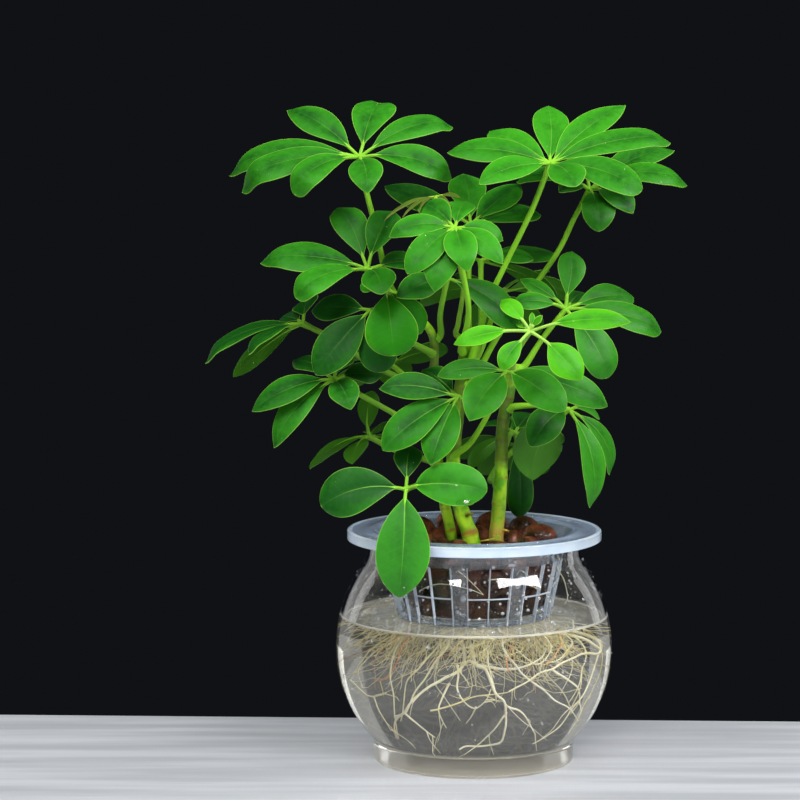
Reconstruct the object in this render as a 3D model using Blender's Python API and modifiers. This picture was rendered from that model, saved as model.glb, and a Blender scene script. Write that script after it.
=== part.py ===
"""A schefflera grown in water: a glass bowl, a net basket of clay pebbles, three stems with their
whorled leaves, and the roots that hang in the water.

The origin is the centre of the bowl's flat underside, +Z is up, and -Y is the side the plant is seen from.
Sizes here are in millimetres; MM turns them into Blender's metres.
"""

import math
import random
from dataclasses import dataclass

import bmesh
import bpy
from mathutils import Euler, Matrix, Vector

MM = 0.001
GAP = 0.3

# The bowl: two half ellipses that meet at the belly, a solid foot and a straight neck
BELLY_RADIUS = 69.0
BELLY_HEIGHT = 56.0
LOWER_HALF = 65.7
UPPER_HALF = 71.9
FOOT_RADIUS = 50.0
FOOT_HEIGHT = 10.0
FOOT_ROUNDING = 1.2
FLOOR_HEIGHT = 9.6
NECK_RADIUS = 52.7
NECK_TOP = 114.2
RIM_BEVEL = 0.6
GLASS = 2.2
BOWL_STEPS = 32
BOWL_RINGS = 7

# The water stands just under the basket's floor
WATER_LEVEL = 72.8
WATER_RINGS = 6

# The basket: a flanged cup whose tapered wall and floor are open between their ribs
BASKET_FLOOR = 75.0
BASKET_UNDERSIDE = 73.2
BASKET_FLOOR_RADIUS = 37.3
BASKET_SHOULDER_RADIUS = 44.2
BASKET_SHOULDER = 108.0
BASKET_MOUTH_RADIUS = 51.0
BASKET_TOP = 116.4
BASKET_WALL = 1.6
FLANGE_RADIUS = 63.4
FLANGE_LIP = 111.4
BASKET_STEPS = 30
PANELS = 9
FIRST_PANEL = -81.0
WINDOW_SPREAD = 7.7
WINDOW_WIDTH = 10.0
WINDOW_TAPER = 1.06
WINDOW_ROWS = ((77.5, 86.2), (87.8, 102.6))
FLOOR_SLOTS = (-24.0, -12.0, 0.0, 12.0, 24.0)
FLOOR_SLOT_WIDTH = 9.2
FLOOR_EDGE = 3.0

# The clay pebbles: rows at the side and rings on top, each as height, ring or stone radius, and count
PEBBLE_SEED = 11
SIDE_PEBBLE_ROWS = ((82.6, 6.9, 11), (95.0, 7.0, 12))
TOP_PEBBLE_RINGS = ((109.5, 32.5, 9.4, 10), (105.0, 19.0, 8.8, 6))
HEAP_SLOPE = 3.0
HEAP_CORE_TOP = 106.5
HEAP_CORE_STEPS = 16
STEM_HOLE_MARGIN = 1.2
STEM_HOLE_DEPTH = 80.0

# The viewpoint that the leaves and stems are set out from
EYE = Vector((-37.0, -1600.0, 358.0))

# Stems: they swell and narrow a little in turn, as leaf scars make them
STEM_FOOT = 94.0
STEM_STRAIGHT = 9.0
STEM_POINTS = 13
SCAR_SWELL = 1.06
SCAR_WAIST = 0.97

# Leaves
BLADE_THICKNESS = 0.8
BLADE_STATIONS = (0.02, 0.17, 0.38, 0.62, 0.86, 1.0)
NARROW_STATIONS = (0.05, 0.35, 0.7, 1.0)
NARROW_BLADE = 5.0
BLADE_WEDGE = 0.9
BLADE_BLUNTNESS = 0.6
TIP_SHARE = 0.2
STALK_WIDTH = 1.7
STALK_SHARE = 0.16
HUB_RADIUS = 2.3
PETIOLE_POINTS = 3
PETIOLE_FOOT_RADIUS = 1.9
PETIOLE_TIP_RADIUS = 1.4
ELBOW_OUT = 3.4
ELBOW_UP = 0.8
SHOOT_SLIMNESS = 0.75


def seen(right, up, away=0.0):
    """The point, so far behind the pot's axis, seen over a place on the upright plane through that axis."""
    on_plane = Vector((right, 0.0, up))
    return EYE + (on_plane - EYE) * (1.0 + away / -EYE.y)


@dataclass(frozen=True)
class Stem:
    """A trunk: where its hidden foot stands, its end radii, and the seen points that it climbs through."""

    name: str
    foot: tuple
    foot_radius: float
    tip_radius: float
    climbs: tuple


@dataclass(frozen=True)
class Leaf:
    """A whorl of leaflets on a petiole.

    grows is the stem's name, the height the petiole leaves it at and its bearing from above. faces is the
    whorl's axis, as a tilt from upright and the bearing it tilts to. arch is how far the leaflets bow, as a
    share of their length. hub is the seen centre of the whorl, and bends are seen points on the petiole.
    tips are the leaflets' tips from the hub, as seen: right, up, away, then the leaflet's width and, where
    it is turned about its own length, that turn. stalk is the share of a leaflet's length that is stalk.
    """

    name: str
    grows: tuple
    faces: tuple
    arch: float
    hub: tuple
    bends: tuple
    tips: tuple
    stalk: float = STALK_SHARE


STEMS = (
    Stem("stem_right", foot=(12.0, -1.0), foot_radius=3.9, tip_radius=2.8,
         climbs=((11, 110, -1), (12.5, 130, -1), (13.5, 150, 0), (14, 168, 0), (17, 184, -2),
                 (20, 199, -6))),
    Stem("stem_middle", foot=(0.0, -4.0), foot_radius=4.3, tip_radius=2.9,
         climbs=((-1, 110, -4), (-6, 124, -3), (-9.5, 139, -2), (-10.5, 153, 1), (-8.5, 172, 4),
                 (-6.5, 191, 6), (-4, 211, 7))),
    Stem("stem_left", foot=(-11.5, 4.0), foot_radius=2.9, tip_radius=1.9,
         climbs=((-10.5, 110, 5), (-14, 125, 6), (-17.5, 144, 8), (-19, 166, 8), (-21, 188, 6),
                 (-20, 211, 3), (-28, 221, 0), (-38, 232, -3))),
)

LEAVES = (
    Leaf("leaf_top_left", grows=("stem_left", 230, 100), faces=(45, 262), arch=0.22,
         hub=(-57, 301, 4), bends=((-43.5, 241, 7), (-46, 252, 9), (-50, 270, 9), (-54, 286, 7)),
         tips=((-36, 24.5, 22, 17), (11, 29.5, 28, 21), (47, 18, 14, 16), (47, -9, -6, 18),
               (4, -16, -34, 17), (-33, -15, -26, 17), (-62, -12, -10, 18), (-67, -6, 8, 18))),
    Leaf("leaf_upper_left", grows=("stem_left", 228, 240), faces=(42, 262), arch=0.18,
         hub=(-53, 245.6, -9), bends=((-44, 237, -7),),
         tips=((-54, 6, -4, 20), (-36, -11, -24, 17), (-15, 32, 18, 17), (12, 31, 8, 17),
               (7, -10.5, -36, 17), (29, 3, 16, 16))),
    Leaf("leaf_centre_top", grows=("stem_middle", 204, 250), faces=(50, 268), arch=0.24,
         hub=(-10, 266, -40), bends=((-3, 224, -17), (-6, 245, -27)),
         tips=((-33, -3, -10, 13), (-23.5, -22, -24, 16), (-10, -31, -26, 18), (6.5, -20, -28, 16),
               (24, -17, -22, 13), (24.5, -5.5, -4, 12), (6, 14, 24, 13), (-17, 13, 20, 14))),
    Leaf("leaf_back_top", grows=("stem_middle", 207, 75), faces=(38, 265), arch=0.15,
         hub=(-2, 267.5, 13), bends=((-3, 220, 13), (-3, 242, 14)),
         tips=((-42.5, 20, 14, 17), (-4, 25.5, 30, 19), (24, 20.5, 22, 17), (35, 6, 8, 15),
               (-19, 10, 42, 17))),
    Leaf("leaf_centre_dark", grows=("stem_left", 210, 20), faces=(48, 290), arch=0.16,
         hub=(-13.5, 241.5, -10), bends=((-17, 224, -3),),
         tips=((-25, -9, -22, 15), (36, -25, 0, 20), (-3, 10, 34, 11))),
    Leaf("leaf_back_centre", grows=("stem_middle", 201, 10), faces=(34, 300), arch=0.16,
         hub=(3, 250, 16), bends=((3, 213, 14), (3, 232, 15)),
         tips=((26, 1, -8, 13), (38, 3.5, 22, 14), (38, -17, 15, 19, -48), (-23, 2, 26, 13),
               (10, 3, 38, 15))),
    Leaf("leaf_top_right", grows=("stem_middle", 196, 300), faces=(40, 268), arch=0.12,
         hub=(37, 298, -12), bends=((7, 230, 3), (16, 250, 0), (28, 275, -6)),
         tips=((-1, 28.5, 34, 18), (37, 29, 26, 17), (60, 13.5, 4, 17), (45, -13, -24, 20),
               (12.5, -10, -34, 18), (-35, -9, -24, 17), (-51, 6.5, 2, 18), (-30, 16, 24, 17))),
    Leaf("leaf_right_back", grows=("stem_middle", 188, 350), faces=(36, 275), arch=0.3,
         hub=(56.5, 285, 22), bends=((11, 212, 7), (26.5, 233.5, 9), (41, 254.5, 14), (49, 271, 18)),
         tips=((49.5, 4, 4, 16), (42, 20, 24, 16), (22, -11, -20, 15), (5, -20, -26, 17),
               (-15, 0, -16, 11), (-37, 5.5, 10, 13), (-6, 20, 32, 16))),
    Leaf("leaf_right_upper", grows=("stem_right", 197, 15), faces=(46, 280), arch=0.18,
         hub=(45, 226, -8), bends=((34, 212, -6),),
         tips=((3, 29, 12, 14), (34, 6, 14, 16), (49, -10, 2, 17), (-22.5, 15.5, 10, 9),
               (-24.5, 4, -10, 11), (21.5, -34, -18, 20), (10, 8, 34, 12))),
    Leaf("leaf_young_bright", grows=("stem_right", 194, 265), faces=(54, 275), arch=0.15, stalk=0.3,
         hub=(27.5, 215, -56), bends=((19.5, 201, -24), (23, 208, -42)),
         tips=((50, 5.5, -6, 12), (-38, -6, -8, 10), (-13, 13.5, 12, 10), (-14, -19, -16, 10),
               (26, -24, -14, 17))),
    Leaf("leaf_centre_low", grows=("stem_middle", 150, 280), faces=(55, 270), arch=0.2,
         hub=(16, 194.7, -32), bends=((-1.5, 160, -12), (8, 176, -22)),
         tips=((-34.5, -1.5, -8, 11), (-18.5, -24, -26, 20), (29, -19, -24, 19), (51, -16.5, -6, 17))),
    Leaf("leaf_left_front", grows=("stem_middle", 161, 235), faces=(55, 255), arch=0.16,
         hub=(-8, 182, -38), bends=((-9, 170, -18),),
         tips=((-39.5, 5, -4, 15), (-38, -26, -16, 20), (-14, -33.5, -22, 19), (-18, 14, 20, 13))),
    Leaf("leaf_left_low", grows=("stem_left", 161, 200), faces=(42, 262), arch=0.22,
         hub=(-70, 191, -12), bends=((-40, 174, 0), (-56, 183, -6)),
         tips=((-41, -15.5, -12, 17), (-30.5, -34, -16, 15), (8.5, -14, -26, 15), (24, 2, 6, 14),
               (-20, 10, 24, 13), (6, 12, 30, 14))),
    Leaf("leaf_left_dark", grows=("stem_left", 204, 230), faces=(58, 265), arch=0.12,
         hub=(-51.5, 225.5, -14), bends=((-32, 210, -6), (-42, 218, -10)),
         tips=((-27.5, -32, -14, 21), (5, -31, -11, 19), (-29.5, 0, 14, 15))),
    Leaf("leaf_far_left", grows=("stem_left", 183, 160), faces=(36, 215), arch=0.18,
         hub=(-85, 218.8, 5), bends=((-50, 198, 14), (-68, 210, 10)),
         tips=((-51, -17, -4, 16), (-28.5, -13.5, -20, 14), (-34, -26.5, 12, 14, -40), (3, 14, 22, 15),
               (-10, 4, 32, 13))),
    Leaf("leaf_round_bright", grows=("stem_left", 224, 290), faces=(64, 272), arch=0.1,
         hub=(-44, 236, -24), bends=((-41, 232, -14),),
         tips=((4, -33, -17, 26), (18, -22, 2, 16), (-13, 2, 8, 9))),
    Leaf("leaf_low_back_left", grows=("stem_left", 147, 150), faces=(34, 215), arch=0.3,
         hub=(-52.5, 162.5, 15), bends=((-38, 155, 16),),
         tips=((1.5, 22, 10, 14), (-28, -17, -6, 13), (-8, -14, -18, 14), (6, 3, 34, 14),
               (20, -8, 22, 13))),
    Leaf("leaf_front_low", grows=("stem_left", 134, 245), faces=(62, 268), arch=0.26,
         hub=(-34, 136, -53), bends=((-22, 138, -18), (-28, 138, -38)),
         tips=((-42.5, -8.5, -8, 24), (40.5, -1, -9, 22), (-3.5, -55, -18, 26), (2.5, 22, 14, 14))),
    Leaf("leaf_right_low", grows=("stem_right", 177, 330), faces=(45, 300), arch=0.34,
         hub=(47, 175.7, -4), bends=((36, 178, -3),),
         tips=((12, -50, -12, 14), (22, -33, 6, 13), (-19, -18, -24, 17), (-19, -33.5, 4, 21, -45),
               (14, -1, 24, 15))),
    Leaf("leaf_back_low", grows=("stem_right", 158, 60), faces=(44, 280), arch=0.22,
         hub=(20, 164, 27), bends=((18, 164, 16),),
         tips=((3, -43, 3, 14), (-22, -17, -10, 9), (24, -6, 22, 15), (-14, 6, 30, 14), (8, 10, 36, 15))),
    Leaf("leaf_rear_high", grows=("stem_middle", 186, 95), faces=(38, 85), arch=0.2,
         hub=(12, 234, 52), bends=((2, 203, 22), (8, 220, 38)),
         tips=((40, -2, 6, 18), (22, 10, 34, 18), (-20, 8, 36, 18), (-40, -4, 8, 18), (-14, -18, 28, 16),
               (20, -20, 24, 17))),
    Leaf("leaf_rear_left", grows=("stem_left", 175, 110), faces=(42, 110), arch=0.2,
         hub=(-42, 199, 50), bends=((-28, 186, 22), (-36, 194, 38)),
         tips=((-40, 4, 8, 18), (-26, -12, 32, 18), (4, -10, 38, 18), (28, 6, 26, 18), (-8, 22, 18, 16))),
    Leaf("leaf_rear_low", grows=("stem_right", 137, 115), faces=(48, 75), arch=0.2,
         hub=(22, 158, 56), bends=((8, 141, 18), (12, 148, 38)),
         tips=((22, 2, 16, 17), (10, -14, 34, 17), (-18, -14, 36, 18), (-34, -4, 16, 17),
               (4, 16, 26, 15))),
    Leaf("shoot_opening", grows=("stem_middle", 210, 180), faces=(40, 240), arch=0.3, stalk=0.3,
         hub=(-19, 281.5, -8), bends=((-8, 220, 3), (-6, 240, 3), (-13, 264, -1)),
         tips=((-26, -11, -8, 3), (-15, -10, -8, 3), (12, 0, -4, 3), (7, -5, -8, 3),
               (-3.5, -9.5, -3, 2.6))),
)

# Roots: each plant's share of the bowl, as bearings from above, and how many strands it fills it with
ROOT_SEED = 5
ROOTS = (
    ("roots_right", "stem_right", ((-62, 62, 6),)),
    ("roots_middle", "stem_middle", ((-112, -68, 4), (70, 110, 3))),
    ("roots_left", "stem_left", ((118, 242, 6),)),
)
ROOT_PATH = ((0.35, 0.18), (0.72, 0.56), (1.0, 1.0))
ROOT_DEPTHS = (26.0, 48.0, 36.0, 58.0)
ROOT_FAN_HEIGHT = 70.0
ROOT_START = 89.0
ROOT_BEND = 72.0
ROOT_RADIUS = 0.9
ROOT_TIP_RADIUS = 0.55
CROWN_RADIUS = 2.9
CROWN_HEIGHTS = (91.0, 88.0)
CROWN_END_RADIUS = 1.5
BUNDLE_RADIUS = 2.3
CHANNEL_MARGIN = 0.5


def collection_of(name, hidden=False):
    """A new collection in the scene; a hidden one holds cutters."""
    made = bpy.data.collections.new(name)
    made.hide_render = hidden
    bpy.context.scene.collection.children.link(made)
    return made


def material_of(name, colour, roughness, metallic=0.0, transmission=0.0, ior=1.45):
    """A Principled material with this colour and surface."""
    material = bpy.data.materials.new(name)
    material.use_nodes = True
    shader = material.node_tree.nodes["Principled BSDF"]
    shader.inputs["Base Color"].default_value = (*colour, 1.0)
    shader.inputs["Roughness"].default_value = roughness
    shader.inputs["Metallic"].default_value = metallic
    shader.inputs["Transmission Weight"].default_value = transmission
    shader.inputs["IOR"].default_value = ior
    material.diffuse_color = (*colour, 1.0)
    return material


def object_of(name, mesh, collection):
    """An object that holds this mesh; a cutter is drawn as wire."""
    made = bpy.data.objects.new(name, mesh)
    collection.objects.link(made)
    if collection.hide_render:
        made.hide_render = True
        made.display_type = "WIRE"
    return made


def applied(obj):
    """Replaces an object's mesh by what its modifiers make of it."""
    bpy.context.view_layer.update()
    graph = bpy.context.evaluated_depsgraph_get()
    mesh = bpy.data.meshes.new_from_object(obj.evaluated_get(graph))
    obj.modifiers.clear()
    obj.data = mesh
    return obj


def boolean(obj, operation, collection):
    """Joins or cuts an object with everything in a collection, which is then removed."""
    modifier = obj.modifiers.new(operation.lower(), "BOOLEAN")
    modifier.operation = operation
    modifier.operand_type = "COLLECTION"
    modifier.collection = collection
    modifier.solver = "EXACT"
    applied(obj)
    for operand in list(collection.objects):
        bpy.data.objects.remove(operand)
    bpy.data.collections.remove(collection)
    return obj


def turned(name, profile, steps, collection):
    """A solid of revolution about Z, from a profile of radii and heights that runs down its outer side."""
    mesh = bpy.data.meshes.new(name)
    points = [(radius * MM, 0.0, height * MM) for radius, height in profile]
    mesh.from_pydata(points, [(i, i + 1) for i in range(len(points) - 1)], [])
    made = object_of(name, mesh, collection)
    screw = made.modifiers.new("turn", "SCREW")
    screw.steps = screw.render_steps = steps
    screw.use_merge_vertices = True
    screw.merge_threshold = 0.00001
    return made


def tube(name, points, radii, collection, rings=1):
    """A round rod along these points, with a radius at each, as a mesh."""
    curve = bpy.data.curves.new(name, "CURVE")
    curve.dimensions = "3D"
    curve.bevel_depth = MM
    curve.bevel_resolution = rings
    curve.use_fill_caps = True
    spline = curve.splines.new("POLY")
    spline.points.add(len(points) - 1)
    for knot, point, radius in zip(spline.points, points, radii):
        knot.co = (*(Vector(point) * MM), 1.0)
        knot.radius = radius
    drawn = object_of(name + "_line", curve, collection)
    bpy.context.view_layer.update()
    mesh = bpy.data.meshes.new_from_object(drawn.evaluated_get(bpy.context.evaluated_depsgraph_get()))
    bpy.data.objects.remove(drawn)
    shape = bmesh.new()
    shape.from_mesh(mesh)
    bmesh.ops.remove_doubles(shape, verts=shape.verts, dist=0.000001)
    bmesh.ops.recalc_face_normals(shape, faces=shape.faces)
    shape.to_mesh(mesh)
    shape.free()
    mesh.name = name
    return object_of(name, mesh, collection)


def between_knots(a, b, c, d, t):
    """A point on the smooth curve from b to c, whose neighbours are a and d."""
    straight = 2 * b + (c - a) * t
    curved = (2 * a - 5 * b + 4 * c - d) * t ** 2
    turning = (3 * b - a - 3 * c + d) * t ** 3
    return 0.5 * (straight + curved + turning)


def spline_through(points, count, fineness=12):
    """A smooth run through these points, as this many points evenly spread along it."""
    knots = [2 * points[0] - points[1], *points, 2 * points[-1] - points[-2]]
    fine = []
    for a, b, c, d in zip(knots, knots[1:], knots[2:], knots[3:]):
        fine += [between_knots(a, b, c, d, step / fineness) for step in range(fineness)]
    fine.append(points[-1].copy())
    travelled = [0.0]
    for a, b in zip(fine, fine[1:]):
        travelled.append(travelled[-1] + (b - a).length)
    spread = []
    for index in range(count):
        goal = travelled[-1] * index / (count - 1)
        at = max(1, next((i for i, s in enumerate(travelled) if s >= goal - 1e-9), len(fine) - 1))
        share = (goal - travelled[at - 1]) / max(1e-9, travelled[at] - travelled[at - 1])
        spread.append(fine[at - 1].lerp(fine[at], share))
    return spread


def tapered(first, last, count):
    """This many values that run evenly from the first to the last."""
    return [first + (last - first) * index / (count - 1) for index in range(count)]


def shaded(obj, material, sharp=40):
    """Gives an object its material and smooth shading with sharp edges kept."""
    obj.data.materials.clear()
    obj.data.materials.append(material)
    obj.data.shade_smooth()
    obj.data.set_sharp_from_angle(angle=math.radians(sharp))
    return obj


def bearing_of(degrees):
    """The level unit vector on this bearing."""
    angle = math.radians(degrees)
    return Vector((math.cos(angle), math.sin(angle), 0.0))


def stem_named(name):
    """The stem with this name."""
    return next(stem for stem in STEMS if stem.name == name)


def bowl_radius(height, inset=0.0):
    """The bowl's radius at a height, set in from its outer surface."""
    half = UPPER_HALF if height > BELLY_HEIGHT else LOWER_HALF
    share = min(1.0, abs(height - BELLY_HEIGHT) / (half - inset))
    return (BELLY_RADIUS - inset) * math.sqrt(1.0 - share * share)


def make_bowl(parts, glass):
    """The glass bowl: solid foot, round belly, straight neck."""
    shoulder = next(z for z in range(int(BELLY_HEIGHT), int(NECK_TOP)) if bowl_radius(z) < NECK_RADIUS)
    heights = tapered(FLOOR_HEIGHT, shoulder, BOWL_RINGS + 1)
    inner = [(0.0, FLOOR_HEIGHT), (bowl_radius(FLOOR_HEIGHT, GLASS) - 3.0, FLOOR_HEIGHT)]
    inner += [(bowl_radius(FLOOR_HEIGHT, GLASS), FLOOR_HEIGHT + 0.8)]
    inner += [(bowl_radius(z, GLASS), z) for z in heights[1:-1]]
    inner += [(NECK_RADIUS - GLASS, shoulder), (NECK_RADIUS - GLASS, NECK_TOP)]
    outer = [(NECK_RADIUS - RIM_BEVEL, NECK_TOP), (NECK_RADIUS, NECK_TOP - RIM_BEVEL)]
    outer += [(NECK_RADIUS, shoulder)]
    outer += [(bowl_radius(z), z) for z in reversed(heights[1:-1])]
    outer += [(FOOT_RADIUS + 0.4, FOOT_HEIGHT), (FOOT_RADIUS, FOOT_ROUNDING)]
    outer += [(FOOT_RADIUS - FOOT_ROUNDING, 0.0), (0.0, 0.0)]
    bowl = turned("bowl", inner + outer, BOWL_STEPS, parts)
    return shaded(applied(bowl), glass)


def basket_wall(height):
    """The basket's inner radius at a height between its floor and its shoulder."""
    share = (height - BASKET_FLOOR) / (BASKET_SHOULDER - BASKET_FLOOR)
    return BASKET_FLOOR_RADIUS + (BASKET_SHOULDER_RADIUS - BASKET_FLOOR_RADIUS) * share


def box_between(name, low, high, collection, turn=0.0, taper=1.0):
    """A box with these corners, its -X end narrowed by taper, then turned about Z."""
    mesh = bpy.data.meshes.new(name)
    shape = bmesh.new()
    bmesh.ops.create_cube(shape, size=1.0)
    middle = (Vector(low) + Vector(high)) / 2 * MM
    size = (Vector(high) - Vector(low)) * MM
    spin = Matrix.Rotation(turn, 3, "Z")
    for corner in shape.verts:
        narrow = taper if corner.co.x < 0 else 1.0
        x, y, z = (along * length for along, length in zip(corner.co, size))
        corner.co = spin @ (Vector((x, y * narrow, z)) + middle)
    shape.to_mesh(mesh)
    shape.free()
    return object_of(name, mesh, collection)


def basket_profile():
    """The basket's section: up its inside, over the flange and its lip, and down its outside."""
    ledge = NECK_TOP + GAP
    lip_inside = FLANGE_RADIUS - BASKET_WALL
    return [
        (0.0, BASKET_FLOOR),
        (BASKET_FLOOR_RADIUS, BASKET_FLOOR),
        (BASKET_SHOULDER_RADIUS, BASKET_SHOULDER),
        (BASKET_MOUTH_RADIUS - 1.5, BASKET_TOP - 1.0),
        (BASKET_MOUTH_RADIUS, BASKET_TOP - 0.3),
        (FLANGE_RADIUS - 0.9, BASKET_TOP),
        (FLANGE_RADIUS, BASKET_TOP - 0.8),
        (FLANGE_RADIUS, FLANGE_LIP),
        (lip_inside, FLANGE_LIP),
        (lip_inside - 0.2, ledge),
        (NECK_RADIUS - GLASS - 0.6, ledge),
        (BASKET_SHOULDER_RADIUS + BASKET_WALL, BASKET_SHOULDER - 0.5),
        (BASKET_FLOOR_RADIUS + BASKET_WALL, BASKET_UNDERSIDE),
        (0.0, BASKET_UNDERSIDE),
    ]


def wall_windows(cutters):
    """The cutters for the wall's windows: two columns of two in each panel, narrower towards the axis."""
    inner = BASKET_FLOOR_RADIUS - 1.5
    outer = BASKET_SHOULDER_RADIUS + 5.0
    half = WINDOW_WIDTH / 2
    for panel in range(PANELS):
        for side in (-1, 1):
            turn = math.radians(FIRST_PANEL + 360 * panel / PANELS + side * WINDOW_SPREAD)
            for row, (low, high) in enumerate(WINDOW_ROWS):
                name = f"window_{panel}_{side}_{row}"
                box_between(name, (inner, -half, low), (outer, half, high), cutters, turn,
                            inner / outer * WINDOW_TAPER)


def floor_slots(cutters):
    """The cutters for the long slots in the floor, each as long as the round floor allows."""
    half = FLOOR_SLOT_WIDTH / 2
    for index, across in enumerate(FLOOR_SLOTS):
        reach = math.sqrt((BASKET_FLOOR_RADIUS - FLOOR_EDGE) ** 2 - (abs(across) + half) ** 2)
        low = (across - half, -reach, BASKET_UNDERSIDE - 2.0)
        high = (across + half, reach, BASKET_FLOOR + 1.0)
        box_between(f"slot_{index}", low, high, cutters)


def make_basket(parts, plastic):
    """The net basket: wide flange with a turned-down lip, funnel, ribbed wall and slotted floor."""
    basket = applied(turned("basket", basket_profile(), BASKET_STEPS, parts))
    cutters = collection_of("basket_cutters", hidden=True)
    wall_windows(cutters)
    floor_slots(cutters)
    return shaded(boolean(basket, "DIFFERENCE", cutters), plastic)


def pebble(name, centre, radius, draw, collection, detail=1):
    """A rounded, slightly flattened clay pebble."""
    mesh = bpy.data.meshes.new(name)
    shape = bmesh.new()
    bmesh.ops.create_icosphere(shape, subdivisions=detail, radius=radius * MM)
    squeeze = Vector((draw.uniform(0.9, 1.02), draw.uniform(0.9, 1.02), draw.uniform(0.82, 0.95)))
    turn = Euler([draw.uniform(-0.5, 0.5), draw.uniform(-0.5, 0.5), draw.uniform(0, math.tau)]).to_matrix()
    for point in shape.verts:
        point.co = turn @ Vector([a * b for a, b in zip(point.co, squeeze)]) + Vector(centre) * MM
    shape.to_mesh(mesh)
    shape.free()
    return object_of(name, mesh, collection)


def heap_core(parts):
    """The smooth inside of the heap, which the pebbles stand out of."""
    low = BASKET_FLOOR + GAP
    shoulder = HEAP_CORE_TOP + 1.0
    profile = [(0.0, HEAP_CORE_TOP), (basket_wall(103.0) - 7.0, shoulder)]
    profile += [(basket_wall(low) - 4.5, low), (0.0, low)]
    return applied(turned("clay_pebbles", profile, HEAP_CORE_STEPS, parts))


def side_pebbles(draw, stones):
    """The pebbles that show through the basket's wall, in staggered rows."""
    for row, (height, radius, count) in enumerate(SIDE_PEBBLE_ROWS):
        ring = basket_wall(height - radius / 3) - radius - 0.5
        for index in range(count):
            bearing = math.tau * (index + 0.5 * row + draw.uniform(-0.06, 0.06)) / count
            centre = (ring * math.cos(bearing), ring * math.sin(bearing), height + draw.uniform(0, 0.8))
            pebble(f"side_{row}_{index}", centre, radius, draw, stones, 0)


def top_pebbles(draw, stones):
    """The pebbles on top of the heap, which is higher at the back."""
    for row, (height, ring, radius, count) in enumerate(TOP_PEBBLE_RINGS):
        for index in range(count):
            bearing = math.tau * (index + 0.35 * row + draw.uniform(-0.08, 0.08)) / count
            size = radius + draw.uniform(-0.8, 0.3)
            rise = HEAP_SLOPE * math.sin(bearing) + draw.uniform(-1.0, 1.4)
            centre = (ring * math.cos(bearing), ring * math.sin(bearing), height + rise)
            pebble(f"top_{row}_{index}", centre, size, draw, stones)


def stem_holes():
    """The cutters for the plain hole that each stem stands in."""
    holes = collection_of("stem_holes", hidden=True)
    for stem in STEMS:
        mesh = bpy.data.meshes.new("hole")
        shape = bmesh.new()
        width = (stem.foot_radius + STEM_HOLE_MARGIN) * MM
        place = Matrix.Translation(Vector((*stem.foot, STEM_FOOT)) * MM)
        bmesh.ops.create_cone(shape, cap_ends=True, segments=12, radius1=width, radius2=width,
                              depth=STEM_HOLE_DEPTH * MM, matrix=place)
        shape.to_mesh(mesh)
        shape.free()
        object_of(f"hole_{stem.name}", mesh, holes)
    return holes


def make_pebbles(parts, clay):
    """The heap of pebbles: a core that fills the basket, pebbles that stand out of it, and stem holes."""
    draw = random.Random(PEBBLE_SEED)
    heap = heap_core(parts)
    stones = collection_of("stones")
    side_pebbles(draw, stones)
    top_pebbles(draw, stones)
    boolean(heap, "UNION", stones)
    return shaded(boolean(heap, "DIFFERENCE", stem_holes()), clay, 60)


def stem_line(stem):
    """The stem's centre line, from its hidden foot to its tip."""
    foot = [Vector((*stem.foot, STEM_FOOT)), Vector((*stem.foot, STEM_FOOT + STEM_STRAIGHT))]
    return spline_through(foot + [seen(*place) for place in stem.climbs], STEM_POINTS)


def stem_at(stem, height):
    """The stem's centre, direction and radius at a height."""
    line = stem_line(stem)
    rises = [place for place in zip(line, line[1:]) if place[1].z >= height]
    a, b = rises[0] if rises else (line[-2], line[-1])
    share = min(1.0, max(0.0, (height - a.z) / max(0.01, b.z - a.z)))
    done = (line.index(a) + share) / (len(line) - 1)
    radius = stem.foot_radius + (stem.tip_radius - stem.foot_radius) * done
    return a.lerp(b, share), (b - a).normalized(), radius


def make_stem(stem, parts, bark):
    """A trunk, swollen a little at every other point of its line."""
    line = stem_line(stem)
    radii = tapered(stem.foot_radius, stem.tip_radius, len(line))
    swollen = [radius * (SCAR_SWELL if index % 2 else SCAR_WAIST) for index, radius in enumerate(radii)]
    return shaded(tube(stem.name, line, swollen, parts, 2), bark, 60)


def leaf_axis(leaf):
    """The unit vector that the whorl faces along."""
    tilt, bearing = (math.radians(angle) for angle in leaf.faces)
    return Vector((math.sin(tilt) * math.cos(bearing), math.sin(tilt) * math.sin(bearing), math.cos(tilt)))


def blade_share(t, stalk):
    """A leaflet's width as a share of its widest: a wedge out of the stalk, then a blunt end."""
    s = (t - stalk) / (1.0 - stalk)
    if not 0.0 < s < 1.0:
        return 0.0
    widest = BLADE_WEDGE / (BLADE_WEDGE + BLADE_BLUNTNESS)
    peak = widest ** BLADE_WEDGE * (1.0 - widest) ** BLADE_BLUNTNESS
    return s ** BLADE_WEDGE * (1.0 - s) ** BLADE_BLUNTNESS / peak


def square_to(vector, chord):
    """The unit vector nearest to this one that is square to the chord."""
    return (vector - chord * (vector.dot(chord) / chord.length_squared)).normalized()


def blade_stations(width, stalk):
    """Where along a leaflet its cross rows lie; the second of a wide one's is at its stalk's end."""
    if width < NARROW_BLADE:
        return NARROW_STATIONS
    return (BLADE_STATIONS[0], stalk + 0.01, *BLADE_STATIONS[2:])


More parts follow.
